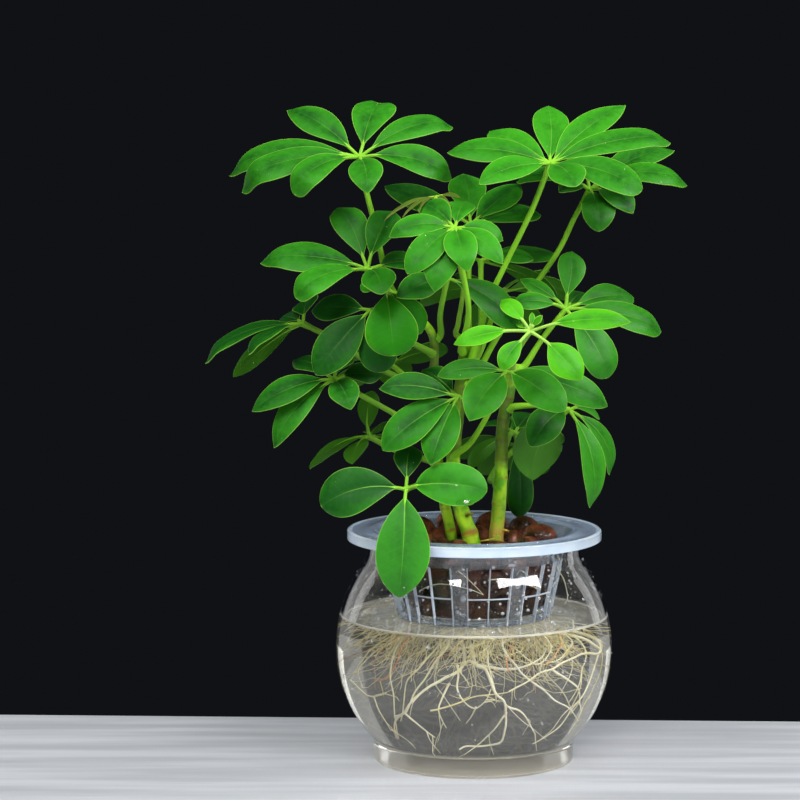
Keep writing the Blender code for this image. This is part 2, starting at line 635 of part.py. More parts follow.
def leaflet(name, hub, tip, axis, arch, width, roll, stalk, collection):
    """One leaflet: a strip that bows from the hub to its tip, narrow along its stalk."""
    chord = tip - hub
    bend = hub + chord * 0.5 + square_to(axis + Vector((0.0, 0.0, 1.0)), chord) * (arch * chord.length)
    up = Matrix.Rotation(math.radians(roll), 3, chord) @ square_to(axis, chord)
    stations = blade_stations(width, stalk)
    rows = len(stations) - 1
    mesh = bpy.data.meshes.new(name)
    shape = bmesh.new()
    bmesh.ops.create_grid(shape, x_segments=rows, y_segments=1, size=1.0)
    for point in shape.verts:
        t = stations[round((point.co.x + 1.0) / 2 * rows)]
        centre = hub.lerp(bend, t).lerp(bend.lerp(tip, t), t)
        forward = (bend - hub).lerp(tip - bend, t)
        side = forward.cross(up).normalized()
        end = TIP_SHARE * width if t == stations[-1] else 0.0
        half = max(STALK_WIDTH, width * blade_share(t, stalk), end) / 2
        point.co = (centre + side * (point.co.y * half)) * MM
    bmesh.ops.triangulate(shape, faces=shape.faces)
    bmesh.ops.recalc_face_normals(shape, faces=shape.faces)
    bmesh.ops.solidify(shape, geom=shape.faces[:], thickness=BLADE_THICKNESS * MM)
    bmesh.ops.recalc_face_normals(shape, faces=shape.faces)
    shape.to_mesh(mesh)
    shape.free()
    return object_of(name, mesh, collection)


def petiole_line(leaf):
    """The petiole's centre line: out of the stem's side, round an elbow and by its bends to the hub."""
    name, height, bearing = leaf.grows
    centre, along, radius = stem_at(stem_named(name), height)
    level = bearing_of(bearing)
    out = (level - along * level.dot(along)).normalized()
    start = centre + out * (radius * SCAR_SWELL + GAP)
    elbow = start + out * ELBOW_OUT + along * ELBOW_UP
    route = [elbow] + [seen(*place) for place in leaf.bends] + [seen(*leaf.hub)]
    return [start] + spline_through(route, PETIOLE_POINTS + len(leaf.bends))


def hub_ball(hub, radius, collection):
    """The small knot at the petiole's end that the leaflets spread from."""
    mesh = bpy.data.meshes.new("hub")
    shape = bmesh.new()
    place = Matrix.Translation(hub * MM)
    bmesh.ops.create_icosphere(shape, subdivisions=0, radius=radius * MM, matrix=place)
    shape.to_mesh(mesh)
    shape.free()
    return object_of("hub", mesh, collection)


def make_leaf(leaf, parts, green):
    """A whorled leaf: its petiole, the hub at the end of it and its leaflets, in one piece."""
    line = petiole_line(leaf)
    slim = SHOOT_SLIMNESS if leaf.name.startswith("shoot") else 1.0
    radii = tapered(slim * PETIOLE_FOOT_RADIUS, slim * PETIOLE_TIP_RADIUS, len(line))
    made = tube(leaf.name, line, radii, parts, 0)
    hub = line[-1]
    leaflets = collection_of("leaflets")
    hub_ball(hub, HUB_RADIUS * slim, leaflets)
    axis = leaf_axis(leaf)
    right, up, away = leaf.hub
    for index, (across, rise, back, width, *roll) in enumerate(leaf.tips):
        tip = seen(right + across, up + rise, away + back)
        leaflet(f"leaflet_{index}", hub, tip, axis, leaf.arch, width, sum(roll), leaf.stalk, leaflets)
    return shaded(boolean(made, "UNION", leaflets), green)


def root_strand(foot, bearing, around, depth, draw):
    """One strand: down the bundle through the basket's floor, then out to near the bowl's wall."""
    start = foot + bearing_of(around) * BUNDLE_RADIUS
    out = bearing_of(bearing)
    reach = out * (bowl_radius(depth, GLASS) - draw.uniform(5, 14))
    sway = Vector((-out.y, out.x, 0.0)) * draw.uniform(-4, 4)
    line = [start + Vector((0, 0, ROOT_START)), start + Vector((0, 0, ROOT_BEND))]
    for share, drop in ROOT_PATH:
        height = Vector((0, 0, ROOT_FAN_HEIGHT - (ROOT_FAN_HEIGHT - depth) * drop))
        line.append(start.lerp(reach, share) + sway * math.sin(3.0 * share) + height)
    return line


def root_lines():
    """Every strand of root by node: its points, from the crown down and out into the water."""
    draw = random.Random(ROOT_SEED)
    strands = {}
    for node, stem_name, sectors in ROOTS:
        foot = Vector((*stem_named(stem_name).foot, 0.0))
        total = sum(count for _, _, count in sectors)
        strands[node] = []
        for first, last, count in sectors:
            for index in range(count):
                bearing = first + (last - first) * (index + 0.5) / count
                around = (first + last) / 2 + 360.0 * (index - (count - 1) / 2) / total
                depth = ROOT_DEPTHS[index % len(ROOT_DEPTHS)] + draw.uniform(-5, 5)
                strands[node].append(root_strand(foot, bearing, around, depth, draw))
    return strands


def make_roots(node, stem_name, lines, parts, cream):
    """One plant's roots: a crown under the stem's foot and the strands that leave it."""
    foot = Vector((*stem_named(stem_name).foot, 0.0))
    heights = (STEM_FOOT - GAP, *CROWN_HEIGHTS)
    crown = [foot + Vector((0, 0, height)) for height in heights]
    made = tube(node, crown, [CROWN_RADIUS, CROWN_RADIUS + 0.2, CROWN_END_RADIUS], parts, 2)
    strands = collection_of("strands")
    for index, line in enumerate(lines):
        tube(f"strand_{index}", line, tapered(ROOT_RADIUS, ROOT_TIP_RADIUS, len(line)), strands, 0)
    return shaded(boolean(made, "UNION", strands), cream, 60)


def water_profile():
    """The water's section: from the middle of its surface out, down the wall and in along the floor."""
    side = GLASS + GAP
    low = FLOOR_HEIGHT + GAP
    heights = tapered(WATER_LEVEL, low, WATER_RINGS + 1)
    profile = [(0.0, WATER_LEVEL)]
    profile += [(bowl_radius(z, side) - (0.3 if z > 30.0 else 1.2), z) for z in heights[:-1]]
    profile += [(bowl_radius(low, side) - 1.2, low + 1.2), (bowl_radius(FLOOR_HEIGHT, side) - 4.5, low)]
    return profile + [(0.0, low)]


def make_water(lines, parts, clear):
    """The water: it fills the bowl to just under the basket, with a channel round each strand of root."""
    water = applied(turned("water", water_profile(), BOWL_STEPS, parts))
    channels = collection_of("channels", hidden=True)
    for node, strands in lines.items():
        for index, line in enumerate(strands):
            radii = tapered(ROOT_RADIUS + CHANNEL_MARGIN, ROOT_TIP_RADIUS + CHANNEL_MARGIN, len(line))
            longer = [*line[:-1], line[-1] + (line[-1] - line[-2]).normalized() * 0.6]
            tube(f"channel_{node}_{index}", longer, radii, channels, 0)
    return shaded(boolean(water, "DIFFERENCE", channels), clear)


def leaf_material(leaf, green, young, bronze):
    """The material of a leaf: the opening shoot is bronze and the youngest leaves are a brighter green."""
    if leaf.name.startswith("shoot"):
        return bronze
    return young if "bright" in leaf.name else green


def build():
    """Makes every piece of the plant and its pot."""
    for obj in list(bpy.data.objects):
        bpy.data.objects.remove(obj)
    parts = collection_of("potted_schefflera")
    make_bowl(parts, material_of("clear_glass", (0.93, 0.95, 0.95), 0.03, transmission=1.0, ior=1.5))
    make_basket(parts, material_of("frosted_plastic", (0.72, 0.79, 0.86), 0.25, transmission=0.6))
    make_pebbles(parts, material_of("wet_clay", (0.16, 0.06, 0.03), 0.3))
    bark = material_of("green_bark", (0.33, 0.45, 0.05), 0.45)
    for stem in STEMS:
        make_stem(stem, parts, bark)
    green = material_of("leaf_green", (0.05, 0.26, 0.03), 0.35)
    young = material_of("young_green", (0.18, 0.5, 0.02), 0.35)
    bronze = material_of("shoot_bronze", (0.32, 0.28, 0.05), 0.45)
    for leaf in LEAVES:
        make_leaf(leaf, parts, leaf_material(leaf, green, young, bronze))
    cream = material_of("root_cream", (0.66, 0.58, 0.33), 0.5)
    lines = root_lines()
    for node, stem_name, _ in ROOTS:
        make_roots(node, stem_name, lines[node], parts, cream)
    clear = material_of("water", (0.97, 0.97, 0.92), 0.0, transmission=1.0, ior=1.33)
    make_water(lines, parts, clear)


build()
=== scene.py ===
"""The dressed potted schefflera: leaves with midribs and veins, ringed green trunks, wet clay pebbles in
a frosted net basket, and cream roots in a round bowl of water.

Lengths in the tables are in millimetres; MM turns them into metres. Directions are those of the part:
+Z is up and -Y is the side the plant is seen from.
"""

import logging
import math
import random
from dataclasses import dataclass
from enum import Enum

import bmesh
import bpy
import numpy as np
from bpy.types import ID, Material, Mesh, Node, NodeOutputs, NodeSocket, NodeTree, Object
from mathutils import Euler, Matrix, Vector, noise


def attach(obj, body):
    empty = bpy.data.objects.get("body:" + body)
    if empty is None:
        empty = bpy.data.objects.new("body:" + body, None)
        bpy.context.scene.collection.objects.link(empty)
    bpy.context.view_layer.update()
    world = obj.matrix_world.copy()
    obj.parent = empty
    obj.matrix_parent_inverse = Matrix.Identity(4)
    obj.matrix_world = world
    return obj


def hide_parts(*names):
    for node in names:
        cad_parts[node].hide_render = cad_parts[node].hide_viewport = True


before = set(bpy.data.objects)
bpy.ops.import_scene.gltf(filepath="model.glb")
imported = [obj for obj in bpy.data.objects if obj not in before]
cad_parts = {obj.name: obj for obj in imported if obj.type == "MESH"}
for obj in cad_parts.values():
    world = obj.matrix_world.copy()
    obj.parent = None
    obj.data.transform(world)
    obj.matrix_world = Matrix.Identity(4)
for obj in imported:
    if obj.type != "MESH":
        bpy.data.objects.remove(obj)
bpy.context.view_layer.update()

LOG = logging.getLogger("schefflera")
BODY = "root"
MM = 0.001

# The viewpoint that the table of leaves is set out from, where the camera stands
EYE = Vector((-37.0, -1600.0, 358.0))

# Radii below this lie on the axis
ON_AXIS = 1e-6


class TipShape(Enum):
    """How a leaflet widens from its base and closes at its tip, as the two powers of its outline."""

    OVAL = (0.74, 0.56)
    ROUND = (0.98, 0.56)
    NOTCHED = (0.95, 0.4)
    BLUNT = (0.94, 0.72)
    POINTED = (1.0, 0.9)
    DIAMOND = (1.2, 0.85)
    LONG = (0.5, 0.8)


class Skin(Enum):
    """Which finish a leaf wears."""

    GREEN = "leaf_green"
    YOUNG = "young_green"
    BRONZE = "shoot_bronze"


@dataclass(frozen=True)
class Stem:
    """A trunk.

    foot is where its hidden foot stands, and climbs are the seen points that it goes through. shaded is the
    stretch whose bark gets painted shade, where the foliage would shade it, brown is how old its foot looks,
    and marked is how far up it a plain scar faces the front. spurs are short growths: the route of each as
    seen, its radii, and how tan it is.
    """

    name: str
    foot: tuple
    foot_radius: float
    tip_radius: float
    climbs: tuple
    shaded: tuple
    brown: float = 0.15
    marked: tuple = ()
    spurs: tuple = ()


@dataclass(frozen=True)
class LeafLook:
    """A leaf's looks.

    tones has a digit for each leaflet, from 0 for the darkest green; it holds the leaflet's own green and
    also painted light and shade, as the leaflet is lit or shaded. shapes has a letter for each, the first one
    of its
    TipShape. curl is how far the tips curl down, as a share of the leaflet's length. stalk is the stalks'
    length. ribs is how plainly the midribs show.
    """

    tones: str
    shapes: str
    curl: float = 0.03
    stalk: float = 5.0
    ribs: float = 0.3
    skin: Skin = Skin.GREEN

    def shape(self, index: int) -> TipShape:
        """The shape of the leaflet of this number."""
        letter = self.shapes[index % len(self.shapes)]
        return next(shape for shape in TipShape if shape.name[0] == letter)

    def tone(self, index: int) -> float:
        """How bright the leaflet of this number is painted, its own green with the light or shade on it, from
        0 to 1.
        """
        return int(self.tones[index % len(self.tones)]) / 10


@dataclass(frozen=True)
class Leaf:
    """A whorl of leaflets on a petiole.

    grows is the stem's name, the height the petiole leaves it at and its bearing from above. faces is the
    whorl's axis, as a tilt from upright and the bearing it tilts to. arch is how far the leaflets bow, as a
    share of their length. hub is the seen centre of the whorl, and bends are seen points on the petiole.
    tips are the leaflets' tips from the hub, as seen: right, up, away, then the leaflet's width and, where
    it is turned about its own length, that turn.
    """

    name: str
    grows: tuple
    faces: tuple
    arch: float
    hub: tuple
    bends: tuple
    tips: tuple
    look: LeafLook


STEMS = (
    Stem("stem_right", foot=(12.0, -1.0), foot_radius=3.9, tip_radius=2.8,
         climbs=((11, 110, -1), (12.5, 130, -1), (13.5, 150, 0), (14, 168, 0), (17, 184, -2), (20, 199, -6)),
         shaded=(150, 188), brown=1.3,
         spurs=((((11, 111.5, -4), (7.5, 110.6, -6), (2.5, 109.8, -7)), (0.7, 0.25), 0.3),
                (((14, 115.6, -3), (16.0, 115.4, -4), (17.4, 114.6, -5)), (0.8, 0.4), 0.4))),
    Stem("stem_middle", foot=(0.0, -4.0), foot_radius=4.3, tip_radius=2.9,
         climbs=((-1, 110, -4), (-6, 124, -3), (-9.5, 139, -2), (-10.5, 153, 1), (-8.5, 172, 4),
                 (-6.5, 191, 6), (-4, 211, 7)),
         shaded=(152, 205), marked=(20.5,),
         spurs=((((-4, 122.6, -6), (-2.2, 123.4, -8), (-0.4, 123.7, -8)), (1.1, 0.5), 0.45),)),
    Stem("stem_left", foot=(-11.5, 4.0), foot_radius=2.9, tip_radius=1.9,
         climbs=((-10.5, 110, 5), (-14, 125, 6), (-17.5, 144, 8), (-19, 166, 8), (-21, 188, 6),
                 (-20, 211, 3), (-28, 221, 0), (-38, 232, -3)),
         shaded=(170, 215)),
)

LEAVES = (
    Leaf("leaf_top_left", grows=("stem_left", 230, 100), faces=(45, 262), arch=0.22,
         hub=(-57, 301, 4), bends=((-43.5, 241, 7), (-46, 252, 9), (-50, 270, 9), (-54, 286, 7)),
         tips=((-36, 24.5, 22, 17), (11, 29.5, 28, 21), (47, 18, 14, 16), (47, -9, -6, 18),
               (4, -16, -34, 17), (-33, -15, -26, 17), (-62, -12, -10, 18), (-67, -6, 8, 18)),
         look=LeafLook("56666755", "PNBBPRBP", 0.12, 7.5, 0.25)),
    Leaf("leaf_upper_left", grows=("stem_left", 228, 240), faces=(42, 262), arch=0.18,
         hub=(-53, 245.6, -9), bends=((-44, 237, -7),),
         tips=((-54, 6, -4, 20), (-36, -11, -24, 17), (-15, 32, 18, 17), (12, 31, 8, 17),
               (7, -10.5, -36, 17), (29, 3, 16, 16)),
         look=LeafLook("575453", "PRRRDB", 0.1, 7.0, 0.3)),
    Leaf("leaf_centre_top", grows=("stem_middle", 204, 250), faces=(50, 268), arch=0.24,
         hub=(-10, 266, -40), bends=((-3, 224, -17), (-6, 245, -27)),
         tips=((-33, -3, -10, 13), (-23.5, -22, -24, 16), (-10, -31, -26, 18), (6.5, -20, -28, 16),
               (24, -17, -22, 13), (24.5, -5.5, -4, 12), (6, 14, 24, 13), (-17, 13, 20, 14)),
         look=LeafLook("77799875", "PBPPPPRB", 0.06, 3.5, 0.2)),
    Leaf("leaf_back_top", grows=("stem_middle", 207, 75), faces=(38, 265), arch=0.15,
         hub=(-2, 267.5, 13), bends=((-3, 220, 13), (-3, 242, 14)),
         tips=((-42.5, 20, 14, 17), (-4, 25.5, 30, 19), (24, 20.5, 22, 17), (35, 6, 8, 15),
               (-19, 10, 42, 17)),
         look=LeafLook("36443", "BRBBB", 0.04, 5.0, 0.2)),
    Leaf("leaf_centre_dark", grows=("stem_left", 210, 20), faces=(48, 290), arch=0.16,
         hub=(-13.5, 241.5, -10), bends=((-17, 224, -3),),
         tips=((-25, -9, -22, 15), (36, -25, 0, 20), (-3, 10, 34, 11)),
         look=LeafLook("343", "PBP", 0.03, 4.0, 0.25)),
    Leaf("leaf_back_centre", grows=("stem_middle", 201, 10), faces=(34, 300), arch=0.16,
         hub=(3, 250, 16), bends=((3, 213, 14), (3, 232, 15)),
         tips=((26, 1, -8, 13), (38, 3.5, 22, 14), (38, -17, 15, 19, -48), (-23, 2, 26, 13),
               (10, 3, 38, 15)),
         look=LeafLook("65323", "BBBBB", 0.03, 4.0, 0.2)),
    Leaf("leaf_top_right", grows=("stem_middle", 196, 300), faces=(40, 268), arch=0.12,
         hub=(37, 298, -12), bends=((7, 230, 3), (16, 250, 0), (28, 275, -6)),
         tips=((-1, 28.5, 34, 18), (37, 29, 26, 17), (60, 13.5, 4, 17), (45, -13, -24, 20),
               (12.5, -10, -34, 18), (-35, -9, -24, 17), (-51, 6.5, 2, 18), (-30, 16, 24, 17)),
         look=LeafLook("98767979", "RPBRDPPR", 0.06, 3.5, 0.45)),
    Leaf("leaf_right_back", grows=("stem_middle", 188, 350), faces=(36, 275), arch=0.3,
         hub=(56.5, 285, 22), bends=((11, 212, 7), (26.5, 233.5, 9), (41, 254.5, 14), (49, 271, 18)),
         tips=((49.5, 4, 4, 16), (42, 20, 24, 16), (22, -11, -20, 15), (5, -20, -26, 17),
               (-15, 0, -16, 11), (-37, 5.5, 10, 13), (-6, 20, 32, 16)),
         look=LeafLook("7555454", "BPPBPBR", 0.07, 6.0, 0.2)),
    Leaf("leaf_right_upper", grows=("stem_right", 197, 15), faces=(46, 280), arch=0.18,
         hub=(45, 226, -8), bends=((34, 212, -6),),
         tips=((3, 29, 12, 14), (34, 6, 14, 16), (49, -10, 2, 17), (-22.5, 15.5, 10, 9),
               (-24.5, 4, -10, 11), (21.5, -34, -18, 20), (10, 8, 34, 12)),
         look=LeafLook("7677764", "RRRPRRB", 0.05, 6.5, 0.4)),
    Leaf("leaf_young_bright", grows=("stem_right", 194, 265), faces=(54, 275), arch=0.15,
         hub=(27.5, 215, -56), bends=((19.5, 201, -24), (23, 208, -42)),
         tips=((50, 5.5, -6, 12), (-38, -6, -8, 10), (-14, 16, 8, 9.5), (-14, -19, -16, 10),
               (26, -24, -14, 17), (6, 8, -2, 3.5), (1, 9.5, 4, 3), (-7, 4, 4, 3)),
         look=LeafLook("68957555", "PPOBPPPP", 0.03, 12.0, 0.25, Skin.YOUNG)),
    Leaf("leaf_centre_low", grows=("stem_middle", 150, 280), faces=(55, 270), arch=0.2,
         hub=(16, 194.7, -32), bends=((-1.5, 160, -12), (8, 176, -22)),
         tips=((-34.5, -1.5, -8, 11), (-18.5, -24, -26, 20), (29, -19, -24, 19), (51, -16.5, -6, 17)),
         look=LeafLook("7887", "BPBB", 0.04, 3.5, 0.4)),
    Leaf("leaf_left_front", grows=("stem_middle", 161, 235), faces=(55, 255), arch=0.16,
         hub=(-8, 182, -38), bends=((-9, 170, -18),),
         tips=((-39.5, 5, -4, 15), (-38, -26, -16, 20), (-14, -33.5, -22, 19), (-18, 14, 20, 13)),
         look=LeafLook("3562", "PBPB", 0.03, 4.5, 0.6)),
    Leaf("leaf_left_low", grows=("stem_left", 161, 200), faces=(42, 262), arch=0.22,
         hub=(-70, 191, -12), bends=((-40, 174, 0), (-56, 183, -6)),
         tips=((-41, -15.5, -12, 17), (-30.5, -34, -16, 15), (8.5, -14, -26, 15), (24, 2, 6, 14),
               (-20, 10, 24, 13), (6, 12, 30, 14)),
         look=LeafLook("354122", "PPPPBB", 0.05, 5.0, 0.3)),
    Leaf("leaf_left_dark", grows=("stem_left", 204, 230), faces=(58, 265), arch=0.12,
         hub=(-51.5, 225.5, -14), bends=((-32, 210, -6), (-42, 218, -10)),
         tips=((-27.5, -32, -14, 21), (5, -31, -11, 19), (-29.5, 0, 14, 15)),
         look=LeafLook("210", "BRB", 0.03, 4.0, 0.2)),
    Leaf("leaf_far_left", grows=("stem_left", 183, 160), faces=(36, 215), arch=0.18,
         hub=(-85, 218.8, 5), bends=((-50, 198, 14), (-68, 210, 10)),
         tips=((-51, -17, -4, 16), (-28.5, -13.5, -20, 14), (-34, -26.5, 12, 11, 140), (3, 14, 22, 15),
               (-10, 4, 32, 13)),
         look=LeafLook("11100", "PPBPP", 0.06, 6.0, 0.3)),
    Leaf("leaf_round_bright", grows=("stem_left", 224, 290), faces=(64, 272), arch=0.1,
         hub=(-44, 236, -24), bends=((-41, 232, -14),),
         tips=((4, -33, -17, 26), (18, -22, 2, 16), (-13, 2, 8, 9)),
         look=LeafLook("000", "RRB", 0.03, 3.0, 0.3, Skin.YOUNG)),
    Leaf("leaf_low_back_left", grows=("stem_left", 147, 150), faces=(34, 215), arch=0.3,
         hub=(-52.5, 162.5, 15), bends=((-38, 155, 16),),
         tips=((1.5, 22, 10, 14, 180), (-28, -17, -6, 13, 180), (-8, -14, -18, 14, 180), (6, 3, 34, 14),
               (20, -8, 22, 13)),
         look=LeafLook("1", "BBBBB", 0.04, 4.0)),
    Leaf("leaf_front_low", grows=("stem_left", 134, 245), faces=(62, 268), arch=0.26,
         hub=(-34, 136, -53), bends=((-22, 138, -18), (-28, 138, -38)),
         tips=((-42.5, -8.5, -8, 24), (40.5, -1, -9, 22), (-3.5, -55, -17.8, 26), (2.5, 22, 14, 14)),
         look=LeafLook("1750", "ROBR", 0.02, 5.0, 0.8)),
    Leaf("leaf_right_low", grows=("stem_right", 177, 330), faces=(45, 300), arch=0.34,
         hub=(47, 175.7, -4), bends=((36, 178, -3),),
         tips=((12, -50, -12, 14), (22, -33, 6, 13), (-19, -18, -24, 17), (-18, -34, 4, 26, 158),
               (14, -1, 24, 15)),
         look=LeafLook("98469", "PPBPB", 0.05, 5.0, 0.5)),
    Leaf("leaf_back_low", grows=("stem_right", 158, 60), faces=(44, 280), arch=0.22,
         hub=(20, 164, 27), bends=((18, 164, 16),),
         tips=((3, -43, 3, 14), (-22, -17, -10, 9, 180), (24, -6, 22, 15), (-14, 6, 30, 14),
               (8, 10, 36, 15)),
         look=LeafLook("23333", "RRRRB", 0.03)),
    Leaf("leaf_rear_high", grows=("stem_middle", 186, 95), faces=(38, 85), arch=0.2,
         hub=(12, 234, 52), bends=((2, 203, 22), (8, 220, 38)),
         tips=((40, -2, 6, 18), (22, 10, 34, 18), (-20, 8, 36, 18), (-40, -4, 8, 18), (-14, -18, 28, 16),
               (20, -20, 24, 17)),
         look=LeafLook("5", "BRB", 0.05)),
    Leaf("leaf_rear_left", grows=("stem_left", 175, 110), faces=(42, 110), arch=0.2,
         hub=(-42, 199, 50), bends=((-28, 186, 22), (-36, 194, 38)),
         tips=((-40, 4, 8, 18), (-26, -12, 32, 18), (4, -10, 38, 18), (28, 6, 26, 18), (-8, 22, 18, 16)),
         look=LeafLook("4", "BRB", 0.05)),
    Leaf("leaf_rear_low", grows=("stem_right", 137, 115), faces=(48, 75), arch=0.2,
         hub=(22, 158, 56), bends=((8, 141, 18), (12, 148, 38)),
         tips=((22, 2, 16, 17), (10, -14, 34, 17), (-18, -14, 36, 18), (-34, -4, 16, 17),
               (4, 16, 26, 15)),
         look=LeafLook("4", "BRB", 0.05)),
    Leaf("shoot_opening", grows=("stem_middle", 210, 180), faces=(40, 240), arch=0.16,
         hub=(-19, 281.5, -8), bends=((-8, 220, 3), (-6, 240, 3), (-13, 264, -1)),
         tips=((-26, -11, -20, 2.8), (-17, -9.5, -26, 2.8), (12, -0.5, -12, 2.6), (7, -4.5, -22, 2.6),
               (-3.5, -8, -20, 2.4), (-22, -8, -12, 2.4), (-9, -7, -24, 2.2)),
         look=LeafLook("5", "L", 0.03, 4.0, 0.3, Skin.BRONZE)),
)

# Main roots as they show through the water: right and up in the plane of the bowl's axis, how far behind
# it, then each one's radius at its start and its tint, from cream through straw to red
SEEN_ROOTS = {
    "roots_left": (
        (1.0, 0.1, ((-6, 60, -24), (-6.3, 48, -32), (-16.5, 41, -38), (-24, 36, -42), (-31, 30, -43),
                    (-36, 23, -40), (-41.5, 20, -34))),
        (0.6, 0.1, ((-36, 23, -40), (-28, 16, -40), (-19.3, 10.5, -38))),
        (0.6, 0.2, ((-36, 23, -40), (-42, 17, -33), (-41, 8, -27))),
        (0.7, 0.3, ((-13, 60, -30), (-20, 48, -38), (-27.6, 37.6, -42), (-32, 30, -42), (-35, 23, -40))),
        (0.6, 0.4, ((-16, 61, -26), (-25, 50, -36), (-33, 40, -40), (-36, 27, -38), (-38, 18, -34))),
        (0.55, 1.0, ((-36, 59, -22), (-40.6, 48, -28), (-45, 41, -28), (-50, 39.5, -24))),
        (0.6, 0.3, ((-38, 58, -20), (-42.4, 43, -30), (-41.5, 29, -34), (-41, 20, -32), (-40, 8, -26))),
        (0.5, 0.5, ((-50, 58, -6), (-58, 50, -8), (-66, 40, -4))),
        (0.5, 0.4, ((-66.5, 38.5, -4), (-60, 34, -12), (-53.5, 31, -20), (-45, 33, -30))),
        (0.45, 0.3, ((-53, 31, -20), (-50, 24, -24), (-47, 18, -26), (-44, 12, -26))),
        (0.45, 0.5, ((-40, 60, 10), (-52, 52, 6), (-60, 44, 0), (-58, 36, -6))),
    ),
    "roots_middle": (
        (0.9, 0.1, ((-2, 60, -20), (2, 48.2, -34), (6.6, 45.5, -38), (10.3, 35, -44), (15, 30, -46),
                    (16.5, 24, -44), (15.4, 15.4, -41), (14, 8, -38), (4.8, 6.5, -39), (-3, 6, -39),
                    (-6.8, 3.5, -40))),
        (0.7, 0.1, ((-6.3, 48, -32), (-2, 50, -34), (2, 48.2, -34), (14, 46, -36), (24, 47, -34),
                    (33, 51, -30), (37, 57, -26))),
        (0.5, 0.2, ((16.5, 24, -44), (11, 16, -42), (5.7, 10, -40))),
        (0.5, 0.1, ((17, 27, -44), (26, 21, -40), (32.5, 12, -35))),
        (0.5, 0.2, ((-8, 48, -32), (-8.5, 42, -38), (-8.5, 36, -42), (-4.5, 29, -45), (1, 26.5, -45),
                    (6.6, 31, -45), (9, 36, -44))),
        (0.5, 0.2, ((-12, 39, -40), (-16.5, 31, -43), (-18, 25, -44), (-13.7, 16.5, -43))),
        (0.5, 0.2, ((6.5, 57, -30), (7.5, 48, -36), (9.4, 38.5, -42), (11.7, 29.5, -44))),
        (0.4, 0.2, ((-14, 58, -14), (-18, 49, -16), (-20, 40, -20), (-12, 28, -22), (-7, 20, -22))),
        (0.4, 0.3, ((1, 27, -45), (-2, 21, -44), (-4, 18, -43))),
        (0.45, 0.6, ((-22, 24.6, -44), (-16.5, 26.5, -45), (-7, 29, -46), (2, 32.5, -46), (17, 34, -45))),
    ),
    "roots_right": (
        (0.8, 0.2, ((69, 56, -12), (55.6, 53, -22), (40, 46.4, -34), (29.7, 42, -40), (17, 34, -45))),
        (0.75, 0.2, ((62, 60, 4), (65, 50, -4), (60, 35, -20), (52.8, 24.6, -26), (42.7, 13.6, -30),
                     (31.6, 6, -32))),
        (0.6, 0.1, ((40, 45.5, -34), (48, 40.4, -32), (54.7, 34, -28), (56, 28, -22), (52, 22, -26))),
        (0.65, 0.0, ((14, 57, -34), (22, 46, -39), (29.7, 38.5, -40), (40, 31, -38), (48, 25.6, -34),
                     (54.7, 18.2, -24))),
        (0.6, 0.3, ((38, 60.7, -28), (37, 52, -34), (31.6, 47.8, -37), (26, 51.5, -36))),
        (0.55, 0.9, ((43.6, 64, -22), (41.8, 54, -30), (38, 49, -33), (33, 47, -35))),
        (0.55, 0.4, ((49, 62.6, -16), (48, 55, -26), (41.8, 49.6, -32), (36, 49, -34))),
        (0.6, 0.3, ((55, 60, -10), (57, 45, -18), (54.7, 35.8, -26), (50, 28, -30))),
        (0.5, 0.5, ((60, 62, 8), (66, 52, 8), (64, 40, 4), (60, 30, 0))),
        (0.5, 1.0, ((16, 52, -36), (16.5, 47, -38), (17, 44, -39))),
        (0.5, 0.2, ((30, 58, 20), (36, 42, 24), (44, 30, 22), (50, 20, 16))),
    ),
}

# Roots that escape through the basket's windows and lie on its wall, as seen, with each one's radius
STRAY_ROOTS = {
    "roots_left": (
        (0.36, ((-26.7, 84.75, -32), (-17.5, 88, -38), (-3.5, 85.7, -42), (4.75, 82.5, -42))),
        (0.34, ((-7.75, 94.5, -44), (-1, 88.5, -43), (4.75, 82.5, -42.5))),
    ),
    "roots_middle": (),
    "roots_right": (
        (0.36, ((7.5, 90, -43), (16.75, 90.3, -40), (24, 88.5, -35), (32.5, 85.25, -28))),
        (0.34, ((24, 94.5, -38), (32.5, 85.7, -28.5))),
        (0.42, ((40.4, 104.2, -15), (41.3, 96, -16), (44.5, 90.5, -14), (46.6, 82, -10), (45.6, 78, -10))),
    ),
}

# Drops that lie on leaves: the whorl, where each is seen, and its half sizes across, up and out
FILMS = (
    ("leaf_front_low", (-4.5, 129.2), (4.6, 1.6, 0.7)),
    ("leaf_front_low", (-36.9, 85.6), (3.0, 2.4, 0.6)),
)
# White beads beside those drops that stand for their glints, painted highlights: the same columns
SPARKS = (
    ("leaf_front_low", (-4.0, 129.6), (1.4, 0.9, 0.8)),
    ("leaf_front_low", (-9.0, 138.0), (0.6, 0.5, 0.4)),
    ("leaf_front_low", (-35.0, 86.4), (0.5, 0.4, 0.4)),
)


def seen(right: float, up: float, away: float = 0.0) -> Vector:
    """The point, so far behind the pot's axis, seen over a place on the upright plane through that axis.

    Args:
        right: millimetres to the right on that plane.
        up: millimetres above the ground on that plane.
        away: millimetres behind that plane.

    Returns:
        The point, in millimetres.
    """
    on_plane = Vector((right, 0.0, up))
    return EYE + (on_plane - EYE) * (1.0 + away / -EYE.y)


def between_knots(a: Vector, b: Vector, c: Vector, d: Vector, t: float) -> Vector:
    """A point on the smooth curve from b to c, whose neighbours are a and d."""
    straight, curved = 2 * b + (c - a) * t, (2 * a - 5 * b + 4 * c - d) * t ** 2
    return 0.5 * (straight + curved + (3 * b - a - 3 * c + d) * t ** 3)


